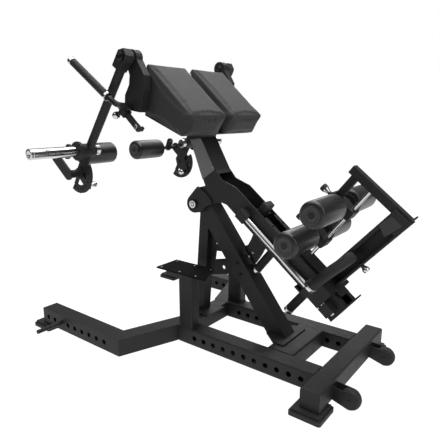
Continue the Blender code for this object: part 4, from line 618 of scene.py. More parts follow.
def turned_piece(name: str, profile: Pairs, base: Vector, axis: Vector, sides: int = 40,
                 mapped: bool = False, sharp: float = SHARP) -> bpy.types.Object:
    """A profile turned round an axis.

    Args:
        name: The piece's name.
        profile: (radius, height) pairs in order.
        base: Where height 0 lies on the axis.
        axis: The direction of height.
        sides: Points round the axis.
        mapped: True for a map in metres round and along.
        sharp: Edges steeper than this, in degrees, stay sharp.

    Returns:
        The new object.
    """
    points = turned_points(profile, base, axis, sides)
    uv = None
    if mapped:
        pairs = np.array(profile, dtype=float)
        along = np.concatenate([[0.0], np.cumsum(np.linalg.norm(np.diff(pairs, axis=0), axis=1))])
        around = np.linspace(0.0, TURN * pairs[:, 0].max(), sides + 1)
        uv = np.stack(np.meshgrid(around, along), axis=-1)
    return grid_piece(name, points, True, uv, sharp)


def swept_piece(name: str, path: np.ndarray, radius: float, sides: int = 12,
                closed: bool = False) -> bpy.types.Object:
    """A round bar along a path: each point carries a ring square to the path's own direction.

    Args:
        name: The piece's name.
        path: Points along the middle, as rows of 3.
        radius: The bar's radius.
        sides: Points round the bar.
        closed: True where the path's end joins its start.

    Returns:
        The new object.
    """
    path = np.asarray(path, dtype=float)
    if closed:
        along = np.roll(path, -1, axis=0) - np.roll(path, 1, axis=0)
    else:
        along = np.gradient(path, axis=0)
    along /= np.linalg.norm(along, axis=1)[:, None]
    across = np.cross(along, SWEEP_GUIDE_Y if np.abs(along[:, 1]).max() < NEARLY_Y else SWEEP_GUIDE_OTHER)
    across /= np.linalg.norm(across, axis=1)[:, None]
    other = np.cross(along, across)
    angle = np.linspace(0.0, TURN, sides, endpoint=False)
    ring = np.cos(angle)[None, :, None] * across[:, None] + np.sin(angle)[None, :, None] * other[:, None]
    points = path[:, None] + radius * ring
    if closed:
        points = np.concatenate([points, points[:1]])
    else:
        points = np.concatenate([path[:1, None].repeat(sides, 1), points, path[-1:, None].repeat(sides, 1)])
    return grid_piece(name, points)


def plate_piece(name: str, outline: np.ndarray, low: float, high: float,
                bevel: float) -> bpy.types.Object:
    """A flat plate between two copies of an outline, with its edges bevelled.

    Args:
        name: The piece's name.
        outline: Points of the outline, as rows of 3.
        low: The step in Y from the outline to one face.
        high: The step in Y from the outline to the other face.
        bevel: Width of the bevelled edge.

    Returns:
        The new object.
    """
    count = len(outline)
    points = np.concatenate([outline + (0.0, low, 0.0), outline + (0.0, high, 0.0)])
    ring = np.arange(count)
    after = (ring + 1) % count
    walls = np.stack([ring, after, after + count, ring + count], axis=1).tolist()
    mesh = bpy.data.meshes.new(name)
    mesh.from_pydata(points, [], walls + [ring.tolist(), (ring + count).tolist()])
    piece = close(name, mesh, PLATE_SHARP)
    add_bevel(piece, bevel)
    return piece


def add_bevel(piece: bpy.types.Object, width: float) -> None:
    """Rounds the piece's steep edges.

    Args:
        piece: The piece.
        width: Width of the rounded edge.
    """
    bevel = piece.modifiers.new("edge", "BEVEL")
    bevel.width = width
    bevel.segments = 2
    bevel.limit_method = "ANGLE"
    bevel.angle_limit = EDGE_ANGLE


def joined(name: str, pieces: Sequence[bpy.types.Object]) -> bpy.types.Object:
    """One piece made of the meshes of several.

    Args:
        name: The new piece's name.
        pieces: Pieces to join, which are removed.

    Returns:
        The new object.
    """
    work = bmesh.new()
    for piece in pieces:
        work.from_mesh(piece.data)
    mesh = bpy.data.meshes.new(name)
    work.to_mesh(mesh)
    work.free()
    for piece in pieces:
        bpy.data.objects.remove(piece, do_unlink=True)
    mesh.shade_smooth()
    mesh.set_sharp_from_angle(angle=math.radians(SHARP))
    whole = bpy.data.objects.new(name, mesh)
    bpy.context.scene.collection.objects.link(whole)
    return whole


def carrier(node: str) -> str:
    """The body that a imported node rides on."""
    return body_of(bpy.data.objects[node])[0]


def dress(piece: bpy.types.Object, finish: Finish, body: str, *nodes: str) -> bpy.types.Object:
    """Gives a finished piece its material, its body and the nodes that it stands for.

    Args:
        piece: The piece.
        finish: Its finish.
        body: The body that it rides on.
        nodes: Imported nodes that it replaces.

    Returns:
        The piece.
    """
    piece.data.materials.clear()
    piece.data.materials.append(coat(finish))
    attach(piece, body)
    if nodes:
        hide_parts(*nodes)
    LOG.info("%s rides on %s in %s", piece.name, body, finish.name)
    return piece


# Sub-assemblies

@dataclass
class Studio:
    """The floor, the world, the lamps and the camera."""

    camera_place: tuple[float, float, float] = (1.2826, -1.7020, 1.0810)
    sensor: float = 36.0
    camera_turn: tuple[float, float, float] = (77.1, 0.0, 37.45)
    lens: float = 37.65
    floor_half: float = 12.0
    floor_drop: float = 0.0004
    floor_white: float = 0.84
    floor_tint: tuple[float, float] = (0.80, 0.84)
    floor_speck: float = 0.03
    ambient: float = 0.27
    horizon: tuple = ((0.30, (1.0, 1.0, 1.0)), (0.46, (0.05, 0.05, 0.05)), (0.74, (0.07, 0.07, 0.07)),
                      (0.86, (1.0, 1.0, 1.0)))
    glow: float = 1.20
    lamps: tuple = (
        ("key", (-1.4, -2.2, 3.6), 1.8, 15.0),
        ("fill", (3.2, -0.8, 2.0), 2.2, 26.0),
        ("top", (0.1, 0.5, 3.6), 2.4, 86.0),
        ("rim", (-1.8, 3.0, 2.6), 2.0, 40.0),
    )
    target: tuple[float, float, float] = (0.0, 0.0, 0.6)

    def build(self) -> None:
        """Sets the whole studio."""
        self.set_world()
        self.make_floor()
        for lamp in self.lamps:
            self.make_lamp(*lamp)
        self.set_camera()
        bpy.context.scene.view_settings.view_transform = "Standard"

    def set_world(self) -> None:
        """A plain world, white to the camera; mirrors see it with a dark band over the horizon."""
        world = bpy.data.worlds.new("studio")
        bpy.context.scene.world = world
        graph = Graph(world)
        camera = graph.node("LightPath", output="Is Camera Ray")
        glossy = graph.node("LightPath", output="Is Glossy Ray")
        mirrors = glossy + graph.node("LightPath", output="Is Transmission Ray")
        way = graph.node("TexCoord", output="Generated")
        height = graph.node("SeparateXYZ", {0: way}, output="Z") * 0.5 + 0.5
        band = graph.node("ValToRGB", {"Fac": height}, stops=self.horizon)
        plain = graph.node("Background", {"Color": WHITE, "Strength": self.ambient})
        mirror = graph.node("Background", {"Color": band, "Strength": 1.0})
        bright = graph.node("Background", {"Color": WHITE, "Strength": 1.0})
        seen = graph.node("MixShader", {0: mirrors.clip(), 1: plain, 2: mirror})
        graph.output(graph.node("MixShader", {0: camera, 1: seen, 2: bright}))

    def make_floor(self) -> None:
        """A wide pale floor that shows white to the camera and keeps a soft shadow."""
        reach = np.linspace(-self.floor_half, self.floor_half, 3)
        x, y = np.meshgrid(reach, reach)
        floor = grid_piece("floor", np.stack([x, y, np.zeros_like(x) - self.floor_drop], axis=-1), wrap=False)
        graph = Graph(bpy.data.materials.new("pale_floor"))
        camera = graph.node("LightPath", output="Is Camera Ray")
        mirrors = graph.node("LightPath", output="Is Glossy Ray")
        seen = (camera + mirrors).clip()
        low, high = self.floor_tint
        speck = graph.noise(graph.place(), self.floor_speck)
        tint = graph.blend(speck, (low, low, low), (high, high, high))
        diffuse = graph.node("BsdfDiffuse", {"Color": tint})
        glow = graph.node("Emission", {"Color": WHITE, "Strength": self.glow})
        shown = graph.node("MixShader", {0: seen * self.floor_white, 1: diffuse, 2: glow})
        floor.data.materials.append(graph.output(shown))

    def make_lamp(self, name: str, place: tuple[float, float, float], size: float,
                  power: float) -> None:
        """A square area lamp turned towards the machine.

        Args:
            name: The lamp's name.
            place: Where it stands.
            size: Length of its side.
            power: Its power in watts.
        """
        data = bpy.data.lights.new(name, "AREA")
        data.energy = power
        data.size = size
        lamp = bpy.data.objects.new(name, data)
        lamp.location = place
        way = Vector(self.target) - Vector(place)
        lamp.rotation_euler = way.to_track_quat("-Z", "Y").to_euler()
        bpy.context.scene.collection.objects.link(lamp)

    def set_camera(self) -> None:
        """The photograph's camera."""
        data = bpy.data.cameras.new("camera")
        data.lens = self.lens
        data.sensor_width = self.sensor
        camera = bpy.data.objects.new("camera", data)
        camera.location = self.camera_place
        camera.rotation_euler = [math.radians(angle) for angle in self.camera_turn]
        bpy.context.scene.collection.objects.link(camera)
        bpy.context.scene.camera = camera


@dataclass
class Frame:
    """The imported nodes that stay: each gets the finish of its slot."""

    loaded: dict

    def slot_of(self) -> dict[str, str]:
        """The slot that the record names for each node."""
        return {row["node"]: row["material_slot"] for row in self.loaded["record"]["subparts"]}

    def build(self) -> None:
        """Puts a finish on every node."""
        slots = self.slot_of()
        for name, node in self.loaded["nodes"].items():
            finish = NODE_FINISH.get(name, SLOT_FINISH[Slot(slots[name])])
            node.data.materials.clear()
            node.data.materials.append(coat(finish))
            LOG.info("node %s in %s", name, finish.name)


@dataclass
class Pads:
    """The two wedge pads: inflated upholstery with a seam round each side panel."""

    outline: Pairs = ((-0.2398, 1.0822), (-0.0574, 1.0123), (-0.0187, 0.9843), (0.0420, 1.0765),
                      (-0.2170, 1.3090))
    inner_y: float = 0.018
    outer_y: float = 0.269
    corner: float = 0.012
    swell: float = 0.0020
    edge_share: float = 0.8
    voxel: float = 0.005
    quality: int = 4
    tension: float = 40.0
    bending: float = 4.0
    pressure: float = 4.0
    frames: int = 20
    cap: float = 0.0045
    edge_rows: int = 6
    middle_rows: int = 14
    seam_inset: float = 0.019
    seam_depth: float = 0.0009
    seam_width: float = 0.0030

    def section(self, inset: np.ndarray, arc: int = 7) -> np.ndarray:
        """The pad's outline drawn in by an inset: each corner is an arc round a centre that stays.

        Args:
            inset: How far each row is drawn in, up to the corner radius.
            arc: Points on each corner's arc.

        Returns:
            Rows of (x, z) points.
        """
        corners = np.array(self.outline)
        before = np.roll(corners, 1, axis=0) - corners
        after = np.roll(corners, -1, axis=0) - corners
        before /= np.linalg.norm(before, axis=1)[:, None]
        after /= np.linalg.norm(after, axis=1)[:, None]
        half = np.arccos(np.clip((before * after).sum(axis=1), -1, 1)) / 2
        inward = before + after
        inward /= np.linalg.norm(inward, axis=1)[:, None]
        radius = self.corner
        centres = corners + inward * (radius / np.sin(half))[:, None]
        turn = (np.pi / 2 - half)[:, None] * np.linspace(-1, 1, arc)[None]
        face = np.arctan2(-inward[:, 1], -inward[:, 0])[:, None] + turn
        rays = np.stack([np.cos(face), np.sin(face)], axis=-1).reshape(-1, 2)
        middles = centres.repeat(arc, axis=0)
        return middles[None] + (radius - inset)[:, None, None] * rays[None]

    def shell(self, side: Side) -> np.ndarray:
        """Rows of points from the pad's inner side round its faces to its outer side.

        Args:
            side: The side of the machine.

        Returns:
            Rows of points.
        """
        radius, shrink = self.corner * self.edge_share, self.swell
        low, high = self.inner_y + shrink, self.outer_y - shrink
        t = np.linspace(0.0, np.pi / 2, self.edge_rows)
        edge_inset = radius * (1.0 - np.sin(t)) + shrink
        edge_y = radius * (1.0 - np.cos(t))
        inset = np.concatenate([edge_inset, np.full(self.middle_rows, shrink), edge_inset[::-1]])
        middle_y = np.linspace(low + radius, high - radius, self.middle_rows + 2)[1:-1]
        y = np.concatenate([low + edge_y, middle_y, (high - edge_y)[::-1]])
        rows = self.section(inset)
        middle = rows[0].mean(axis=0)
        fade = np.linspace(0.0, 1.0, self.edge_rows + 1)[:-1, None, None]
        first = middle + (rows[:1] - middle) * fade
        last = middle + (rows[-1:] - middle) * fade[::-1]
        rows = np.concatenate([first, rows, last])
        y = np.concatenate([np.full(self.edge_rows, y[0]), y, np.full(self.edge_rows, y[-1])])
        across = np.broadcast_to((side.value * y)[:, None], rows.shape[:2])
        return np.stack([rows[..., 0], across, rows[..., 1]], axis=-1)

    def inflate(self, pad: bpy.types.Object) -> None:
        """Fills the pad with air as a cloth, keeps the movement under a cap and applies it.

        Args:
            pad: The pad, whose mesh is replaced.
        """
        remesh = pad.modifiers.new("remesh", "REMESH")
        remesh.mode = "VOXEL"
        remesh.voxel_size = self.voxel
        apply_all(pad)
        count = len(pad.data.vertices)
        rest = np.empty(count * 3)
        pad.data.vertices.foreach_get("co", rest)
        cloth = pad.modifiers.new("cloth", "CLOTH")
        cloth.settings.quality = self.quality
        cloth.settings.use_pressure = True
        cloth.settings.uniform_pressure_force = self.pressure
        cloth.settings.effector_weights.gravity = 0.0
        cloth.settings.tension_stiffness = self.tension
        cloth.settings.bending_stiffness = self.bending
        cloth.point_cache.frame_start = 1
        cloth.point_cache.frame_end = self.frames
        for frame in range(1, self.frames + 1):
            bpy.context.scene.frame_set(frame)
        moved = np.empty(count * 3)
        shape = pad.evaluated_get(bpy.context.evaluated_depsgraph_get()).data
        shape.vertices.foreach_get("co", moved)
        pad.modifiers.clear()
        bpy.context.scene.frame_set(1)
        step = (moved - rest).reshape(-1, 3)
        length = np.linalg.norm(step, axis=1, keepdims=True)
        step *= np.minimum(1.0, self.cap / np.maximum(length, 1e-9))
        rest = (rest.reshape(-1, 3) + step).ravel()
        pad.data.vertices.foreach_set("co", rest)
        pad.data.update()

    def sew(self, pad: bpy.types.Object, side: Side) -> None:
        """Sinks the seams: each point drops by depth * exp(-(distance / width)^2).

        Args:
            pad: The pad.
            side: The side of the machine.
        """
        points = np.empty(len(pad.data.vertices) * 3)
        normals = np.empty_like(points)
        pad.data.vertices.foreach_get("co", points)
        pad.data.vertices.foreach_get("normal", normals)
        points, normals = points.reshape(-1, 3), normals.reshape(-1, 3)
        for line_y in (self.inner_y + self.seam_inset, self.outer_y - self.seam_inset):
            gap = points[:, 1] - side.value * line_y
            drop = self.seam_depth * np.exp(-(gap / self.seam_width) ** 2)
            points = points - normals * drop[:, None]
        pad.data.vertices.foreach_set("co", points.ravel())
        pad.data.update()

    def build(self) -> None:
        """Makes both pads and their seams."""
        for side in Side:
            pad = grid_piece(f"pad_cover_{side.label}", self.shell(side), sharp=180.0)
            self.inflate(pad)
            fine = pad.modifiers.new("fine", "SUBSURF")
            fine.levels = fine.render_levels = 1
            apply_all(pad)
            self.sew(pad, side)
            pad.data.shade_smooth()
            dress(pad, VINYL, "beam", f"pad_{side.label}")


def apply_all(piece: bpy.types.Object) -> None:
    """Replaces the piece's mesh by what its modifiers make of it.

    Args:
        piece: The piece.
    """
    shape = piece.evaluated_get(bpy.context.evaluated_depsgraph_get())
    mesh = bpy.data.meshes.new_from_object(shape)
    piece.modifiers.clear()
    piece.data = mesh


@dataclass
class Rollers:
    """The six foam rollers: a soft round body and a hard cap at each end."""

    edge: float = 0.014
    cap_share: float = 0.66
    cap_proud: float = 0.0035
    cap_dish: float = 0.0012
    cap_depth: float = 0.010
    cap_round: float = 0.0012
    cap_edge: float = 0.0006
    cap_foot: float = 0.0052
    rim: float = 0.005
    slope: float = 0.002
    hub_slope: float = 0.004
    play: float = 0.001
    groove: Pairs = ((0.0015, 0.0024), (0.006, 0.0006))
    bore: float = 0.0107
    hub: float = 0.0128
    seat: float = 0.006
    slack: float = 0.0006
    swell: float = 0.0006

    def build(self) -> None:
        """Makes the body and caps of each roller over its node."""
        for side in Side:
            for kind in ("lower", "upper", "arm"):
                self.make_roller(f"{kind}_roller_{side.label}")

    def make_roller(self, node: str) -> None:
        """One roller with its two caps.

        Args:
            node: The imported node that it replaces.
        """
        low, high = (np.array(corner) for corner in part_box(node))
        radius = (high[2] - low[2]) / 2
        half = (high[1] - low[1]) / 2 - self.cap_proud
        base = Vector((low + high) / 2)
        cap = radius * self.cap_share
        profile = self.foam_profile(radius, half, cap)
        foam = turned_piece(f"{node}_foam", profile, base, ACROSS, 64, sharp=50.0)
        dress(foam, FOAM, carrier(node), node)
        ring = self.cap_profile(half, cap)
        caps = [turned_piece(f"{node}_cap_{sign}", ring, base, ACROSS * sign, 48) for sign in (-1, 1)]
        dress(joined(f"{node}_caps", caps), CAP, carrier(node))

    def foam_profile(self, radius: float, half: float, cap: float) -> list[tuple[float, float]]:
        """The foam: a cylinder with rounded ends, swollen by swell (1 - (h / half)^2).

        Args:
            radius: The roller's radius.
            half: Half its length.
            cap: Radius of its caps.

        Returns:
            The closed profile.
        """
        height = np.linspace(self.edge - half, half - self.edge, 13)
        swell = self.swell * (1.0 - (height / half) ** 2)
        t = np.linspace(0.0, np.pi / 2, 8)
        inner = radius - self.edge - self.slack
        end = [*((cap + out, deep) for out, deep in self.groove), (inner - self.slope, 0.0)]
        end += [(inner + self.edge * math.sin(a), self.edge * (1 - math.cos(a))) for a in t]
        floor = [(self.bore + self.slope, self.seat - half), (cap - self.slope, self.seat - half)]
        profile = floor + [(r, h - half) for r, h in end]
        profile += [(radius - self.slack + s, h) for s, h in zip(swell, height)]
        profile += [(r, half - h) for r, h in reversed(end)]
        profile += [(r, -h) for r, h in reversed(floor)]
        return looped(profile)

    def cap_profile(self, half: float, cap: float) -> list[tuple[float, float]]:
        """A cap: a rim and a bush, with a shallow dish between them.

        Args:
            half: Half the foam's length.
            cap: The cap's radius.

        Returns:
            The closed profile.
        """
        face, dish = half + self.cap_proud, half + self.cap_dish
        inner = cap - self.rim
        shape = rounded([(cap, 0.0), (cap, half - self.cap_foot), (cap, face - self.cap_edge), (inner, face),
                         (inner - self.slope, dish), (self.hub + self.hub_slope, dish), (self.hub, face),
                         (self.bore + self.play, face), (self.bore, half)], self.cap_round, 3)
        foot = half - self.cap_depth
        return [(self.bore, foot), (cap - self.play, foot), *shape[2:], (self.bore, foot)]


@dataclass
class Grips:
    """The knurled grips, their bright end rings and the two pull grips under the beam."""

    hand_radius: float = 0.0165
    hand_root: tuple[float, float, float] = (-0.3000, 0.407, 1.1527)
    hand_end: tuple[float, float, float] = (-0.5375, 0.407, 1.3170)
    sunk: float = 0.001
    edge: float = 0.002
    knurl: tuple[float, float] = (0.013, 0.020)
    knurl_proud: float = 0.0008
    knurl_slope: float = 0.0005
    ring: float = 0.012
    ring_proud: float = 0.0035
    tip: float = 0.019
    tip_proud: float = 0.0012
    tip_wall: float = 0.0008
    tip_edge: float = 0.003
    pull_radius: float = 0.021
    pull_stem: tuple[float, float] = (0.015, 0.014)
    pull_step: float = 0.004
    pull_inset: float = 0.0008
    pull_ring: float = 0.017
    pull_ring_gap: float = 0.0002
    pull_ring_proud: float = 0.0006
    pull_ring_edge: float = 0.0022
    dimple: tuple[float, float] = (0.62, 0.55)
    pulls: dict[str, tuple[float, float, float]] = field(default_factory=lambda: {
        "beam": (0.427, 0.1305, -0.026), "carriage": (0.655, 0.1177, -0.037),
    })

    def build(self) -> None:
        """Makes the sleeves over the hand grips and the whole pull grips."""
        for side in Side:
            root = Vector(self.hand_root)
            end = Vector(self.hand_end)
            root.y *= side.value
            end.y *= side.value
            self.make_hand_sleeve(side, root, end)
        for body, heights in self.pulls.items():
            self.make_pull(f"{body}_grip", body, *heights)

    def make_hand_sleeve(self, side: Side, root: Vector, end: Vector) -> None:
        """A knurled sleeve just proud of the bar, with a bright ring at its root and a bright tip.

        Args:
            side: The side of the machine.
            root: The bar's root.
            end: The bar's tip.
        """
        axis = (end - root).normalized()
        length = (end - root).length
        body = carrier(f"hand_grip_{side.label}")
        r, low = self.hand_radius, self.hand_radius - self.sunk
        start, stop, high = self.knurl[0], length - self.knurl[1], r + self.knurl_proud
        knurl = [(low, start), (high, start + self.knurl_slope), (high, stop), (low, stop + self.knurl_slope)]
        sleeve = turned_piece(f"hand_knurl_{side.label}", looped(knurl), root, axis, mapped=True)
        dress(sleeve, STEEL, body)
        high = r + self.ring_proud
        ring = rounded([(low, 0.0), (high, 0.0), (high, self.ring), (low, self.ring)], self.edge)
        high, foot, crown = r + self.tip_proud, length - self.tip, length + self.tip_proud
        tip = rounded([(low, foot), (high, foot), (high, crown), (0.0, crown)], self.tip_edge)
        tip += [(0.0, crown - self.tip_wall), (low, crown - self.tip_wall)]
        bright = [turned_piece("ring", looped(ring), root, axis),
                  turned_piece("tip", looped(tip), root, axis)]
        dress(joined(f"hand_grip_rings_{side.label}", bright), CHROME, body)

    def make_pull(self, node: str, body: str, place: float, top: float, tip: float) -> None:
        """A pull grip: stem, knurled barrel and a bright ring round its end.

        Args:
            node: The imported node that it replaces.
            body: The body that it rides on.
            place: Its distance down the beam.
            top: Height of its root, square to the beam.
            tip: Height of its tip.
        """
        r = self.pull_radius
        base = beam_point(place, top)
        length = top - tip
        stem, shoulder = self.pull_stem
        side, foot = r - self.pull_inset, length - self.pull_ring
        barrel = rounded([(0.0, 0.0), (stem, 0.0), (stem, shoulder), (side, shoulder + self.pull_step),
                          (side, foot), (0.0, foot)], self.edge)
        dress(turned_piece(f"{node}_barrel", barrel, base, -BEAM_UP, 44, mapped=True), STEEL, body, node)
        side, foot = r + self.pull_ring_proud, foot + self.pull_ring_gap
        out, within = self.dimple
        ring = rounded([(0.0, foot), (side, foot), (side, length), (r * out, length),
                        (r * within, length - self.pull_step), (0.0, length - self.pull_step)],
                       self.pull_ring_edge)
        dress(turned_piece(f"{node}_ring", ring, base, -BEAM_UP, 44), CHROME, body)


@dataclass
class BrightParts:
    """The machine's bright turned parts: bars turned afresh, and pins as smooth copies of their nodes."""

    pins: tuple[str, ...] = ("angle_pin_near", "angle_pin_far", "selector_pin", "foot_arm_pin",
                             "lower_block_pin", "upper_block_pin")
    dark: tuple[str, ...] = ("arm_shaft_near", "arm_shaft_far", "main_pivot_shaft")
    rod_radius: float = 0.014
    rod_reach: tuple[float, float] = (0.2353, 0.7747)
    chamfer: float = 0.001
    slide_radius: float = 0.008
    sleeve_radius: float = 0.024
    sleeve_reach: tuple[float, float] = (0.295, 0.652)
    sleeve_drop: float = 0.488
    sleeve_groove: Pairs = ((0.0, 0.013), (0.0014, 0.012), (0.0014, 0.010), (0.0, 0.009))
    sleeve_edge: float = 0.0016
    dimple: tuple[float, float, float] = (0.45, 0.40, 0.002)
    crease: float = 35.0

    def build(self) -> None:
        """Makes the bars, then the pins and shafts."""
        for side in Side:
            self.make_guide_rod(side)
            self.make_sleeve(side)
        self.make_slide_rod()
        for name in self.pins + self.dark:
            mesh = bpy.data.objects[name].data.copy()
            piece = close(f"{name}_turned", mesh, self.crease)
            dress(piece, BOLT if name in self.dark else CHROME, carrier(name), name)

    def make_guide_rod(self, side: Side) -> None:
        """A ground bar with chamfered ends.

        Args:
            side: The side of the machine.
        """
        start, end = self.rod_reach
        r, length = self.rod_radius, end - start
        c = self.chamfer
        profile = [(0.0, 0.0), (r - c, 0.0), (r, c), (r, length - c), (r - c, length), (0.0, length)]
        base = beam_point(start, GUIDE_ROD_HEIGHT, side.value * GUIDE_ROD_Y)
        name = f"guide_rod_{side.label}"
        dress(turned_piece(f"{name}_turned", profile, base, BEAM_ALONG, 56), CHROME, carrier(name), name)

    def make_slide_rod(self) -> None:
        """The thin bright bar that the roller blocks slide along."""
        low, high = (np.array(corner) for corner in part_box("slide_rod"))
        middle = Vector((low + high) / 2)
        r = self.slide_radius
        span = (high[2] - low[2] - 2 * r * math.sin(BEAM_SLOPE)) / math.cos(BEAM_SLOPE)
        profile = [(0.0, 0.0), (r, 0.0), (r, span), (0.0, span)]
        piece = turned_piece("slide_rod_turned", profile, middle - BEAM_UP * (span / 2), BEAM_UP)
        dress(piece, CHROME, carrier("slide_rod"), "slide_rod")

    def make_sleeve(self, side: Side) -> None:
        """The weight sleeve: a bar with a groove behind its domed end cap.

        Args:
            side: The side of the machine.
        """
        r = self.sleeve_radius
        inner, outer = self.sleeve_reach
        length = outer - inner
        out, within, deep = self.dimple
        groove = [(r - dip, length - back) for dip, back in self.sleeve_groove]
        profile = rounded([(0.0, 0.0), (r, 0.0), *groove, (r, length), (r * out, length),
                           (r * within, length - deep), (0.0, length - deep)], self.sleeve_edge, 3)
        base = arm_point(0.0, -self.sleeve_drop, side.value * inner)
        name = f"sleeve_{side.label}"
        piece = turned_piece(f"{name}_turned", profile, base, ACROSS * side.value, 64)
        dress(piece, CHROME, carrier(name), name)


@dataclass
class PinKnobs:
    """Black ribbed covers on the knobs of the spring pins, each riding on its pin."""

    radius: float = 0.0158
    wall: float = 0.006
    length: float = 0.019
    edge: float = 0.003
    crown: float = 0.004
    ribs: int = 16
    lobe: float = 0.03
    place: float = 0.4247
    heights: dict[str, float] = field(default_factory=lambda: {"lower": 0.332, "upper": 0.497})

    def build(self) -> None:
        """Makes a cover for each roller block's pin."""
        for level, height in self.heights.items():
            self.make_cover(f"{level}_block_pin", beam_point(self.place, height), -BEAM_ALONG)

    def make_cover(self, node: str, base: Vector, axis: Vector) -> None:
        """A lobed barrel: each point moves out by lobe cos(ribs t) times its radius.

        Args:
            node: The pin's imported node.
            base: The foot of its knob.
            axis: The way it points.
        """
        r, bore = self.radius, self.radius - self.wall
        profile = rounded([(bore, 0.0), (r, 0.0), (r, self.length), (0.0, self.length)], self.edge)
        profile = [*profile, (0.0, self.length - self.crown), (bore, 0.0)]
        points = turned_points(profile, base, axis, self.ribs * 4)
        along = basis(axis)[2]
        out = points - np.array(base)
        out -= (out @ along)[..., None] * along
        spin = np.linspace(0.0, TURN, self.ribs * 4, endpoint=False)
        points += out * (self.lobe * np.cos(self.ribs * spin))[None, :, None]
        dress(grid_piece(f"{node}_cover", points), PLUG, carrier(node))


class Drive(Enum):
    """How a bolt's head is driven."""

    SOCKET = "socket"
    HEX = "hex"
    DOME = "dome"


HEADS = {                # steps out and up, as shares of the bolt's radius
    Drive.SOCKET: ((1.0, 0.9), (0.52, 0.9), (0.50, 0.45), (0.0, 0.45)),
    Drive.HEX: ((1.0, 0.62), (0.86, 0.74), (0.0, 0.74)),
}
HEAD_SEAT = 0.001        # height of a head's underside
SOCKET_EDGE = 0.12       # of a socket head's rounded edge, as a share of the radius
DOME_FOOT = 0.002        # height where a dome starts
DOME_RISE = 0.5          # of a dome, as a share of the radius
WASHER = (0.4, 1.35)     # its bore and rim, as shares of the radius
WASHER_FACES = (-0.0006, 0.0014)
WASHER_EDGE = 0.0005


@dataclass(frozen=True)
class Bolt:
    """One bolt: its seat's centre, the way its head points, its size, body, drive and finish."""

    name: str
    seat: Vector
    axis: Vector
    radius: float
    body: str
    drive: Drive = Drive.SOCKET
    finish: Finish = BOLT

    def build(self) -> None:
        """Makes the washer and head as one piece."""
        bore, rim = (self.radius * share for share in WASHER)
        low, high = WASHER_FACES
        washer = rounded([(bore, low), (rim, low), (rim, high), (bore, high)], WASHER_EDGE, 2)
        parts = [turned_piece("washer", looped(washer), self.seat, self.axis, 28), self.make_head()]
        dress(joined(self.name, parts), self.finish, self.body)

    def make_head(self) -> bpy.types.Object:
        """The head. A dome's point at angle a is r cos(a) out and foot + rise r sin(a) up.

        Returns:
            The head's object.
        """
        r = self.radius
        seat = [(0.0, HEAD_SEAT), (r, HEAD_SEAT)]
        if self.drive is Drive.DOME:
            angles = np.linspace(0.0, np.pi / 2, 6)
            dome = [(r * math.cos(a), DOME_FOOT + r * DOME_RISE * math.sin(a)) for a in angles]
            return turned_piece("head", seat + dome, self.seat, self.axis, 28)
        profile = seat + [(r * out, r * up) for out, up in HEADS[self.drive]]
        if self.drive is Drive.HEX:
            return turned_piece("head", profile, self.seat, self.axis, 6, sharp=20.0)
        return turned_piece("head", rounded(profile, r * SOCKET_EDGE, 2), self.seat, self.axis, 24)


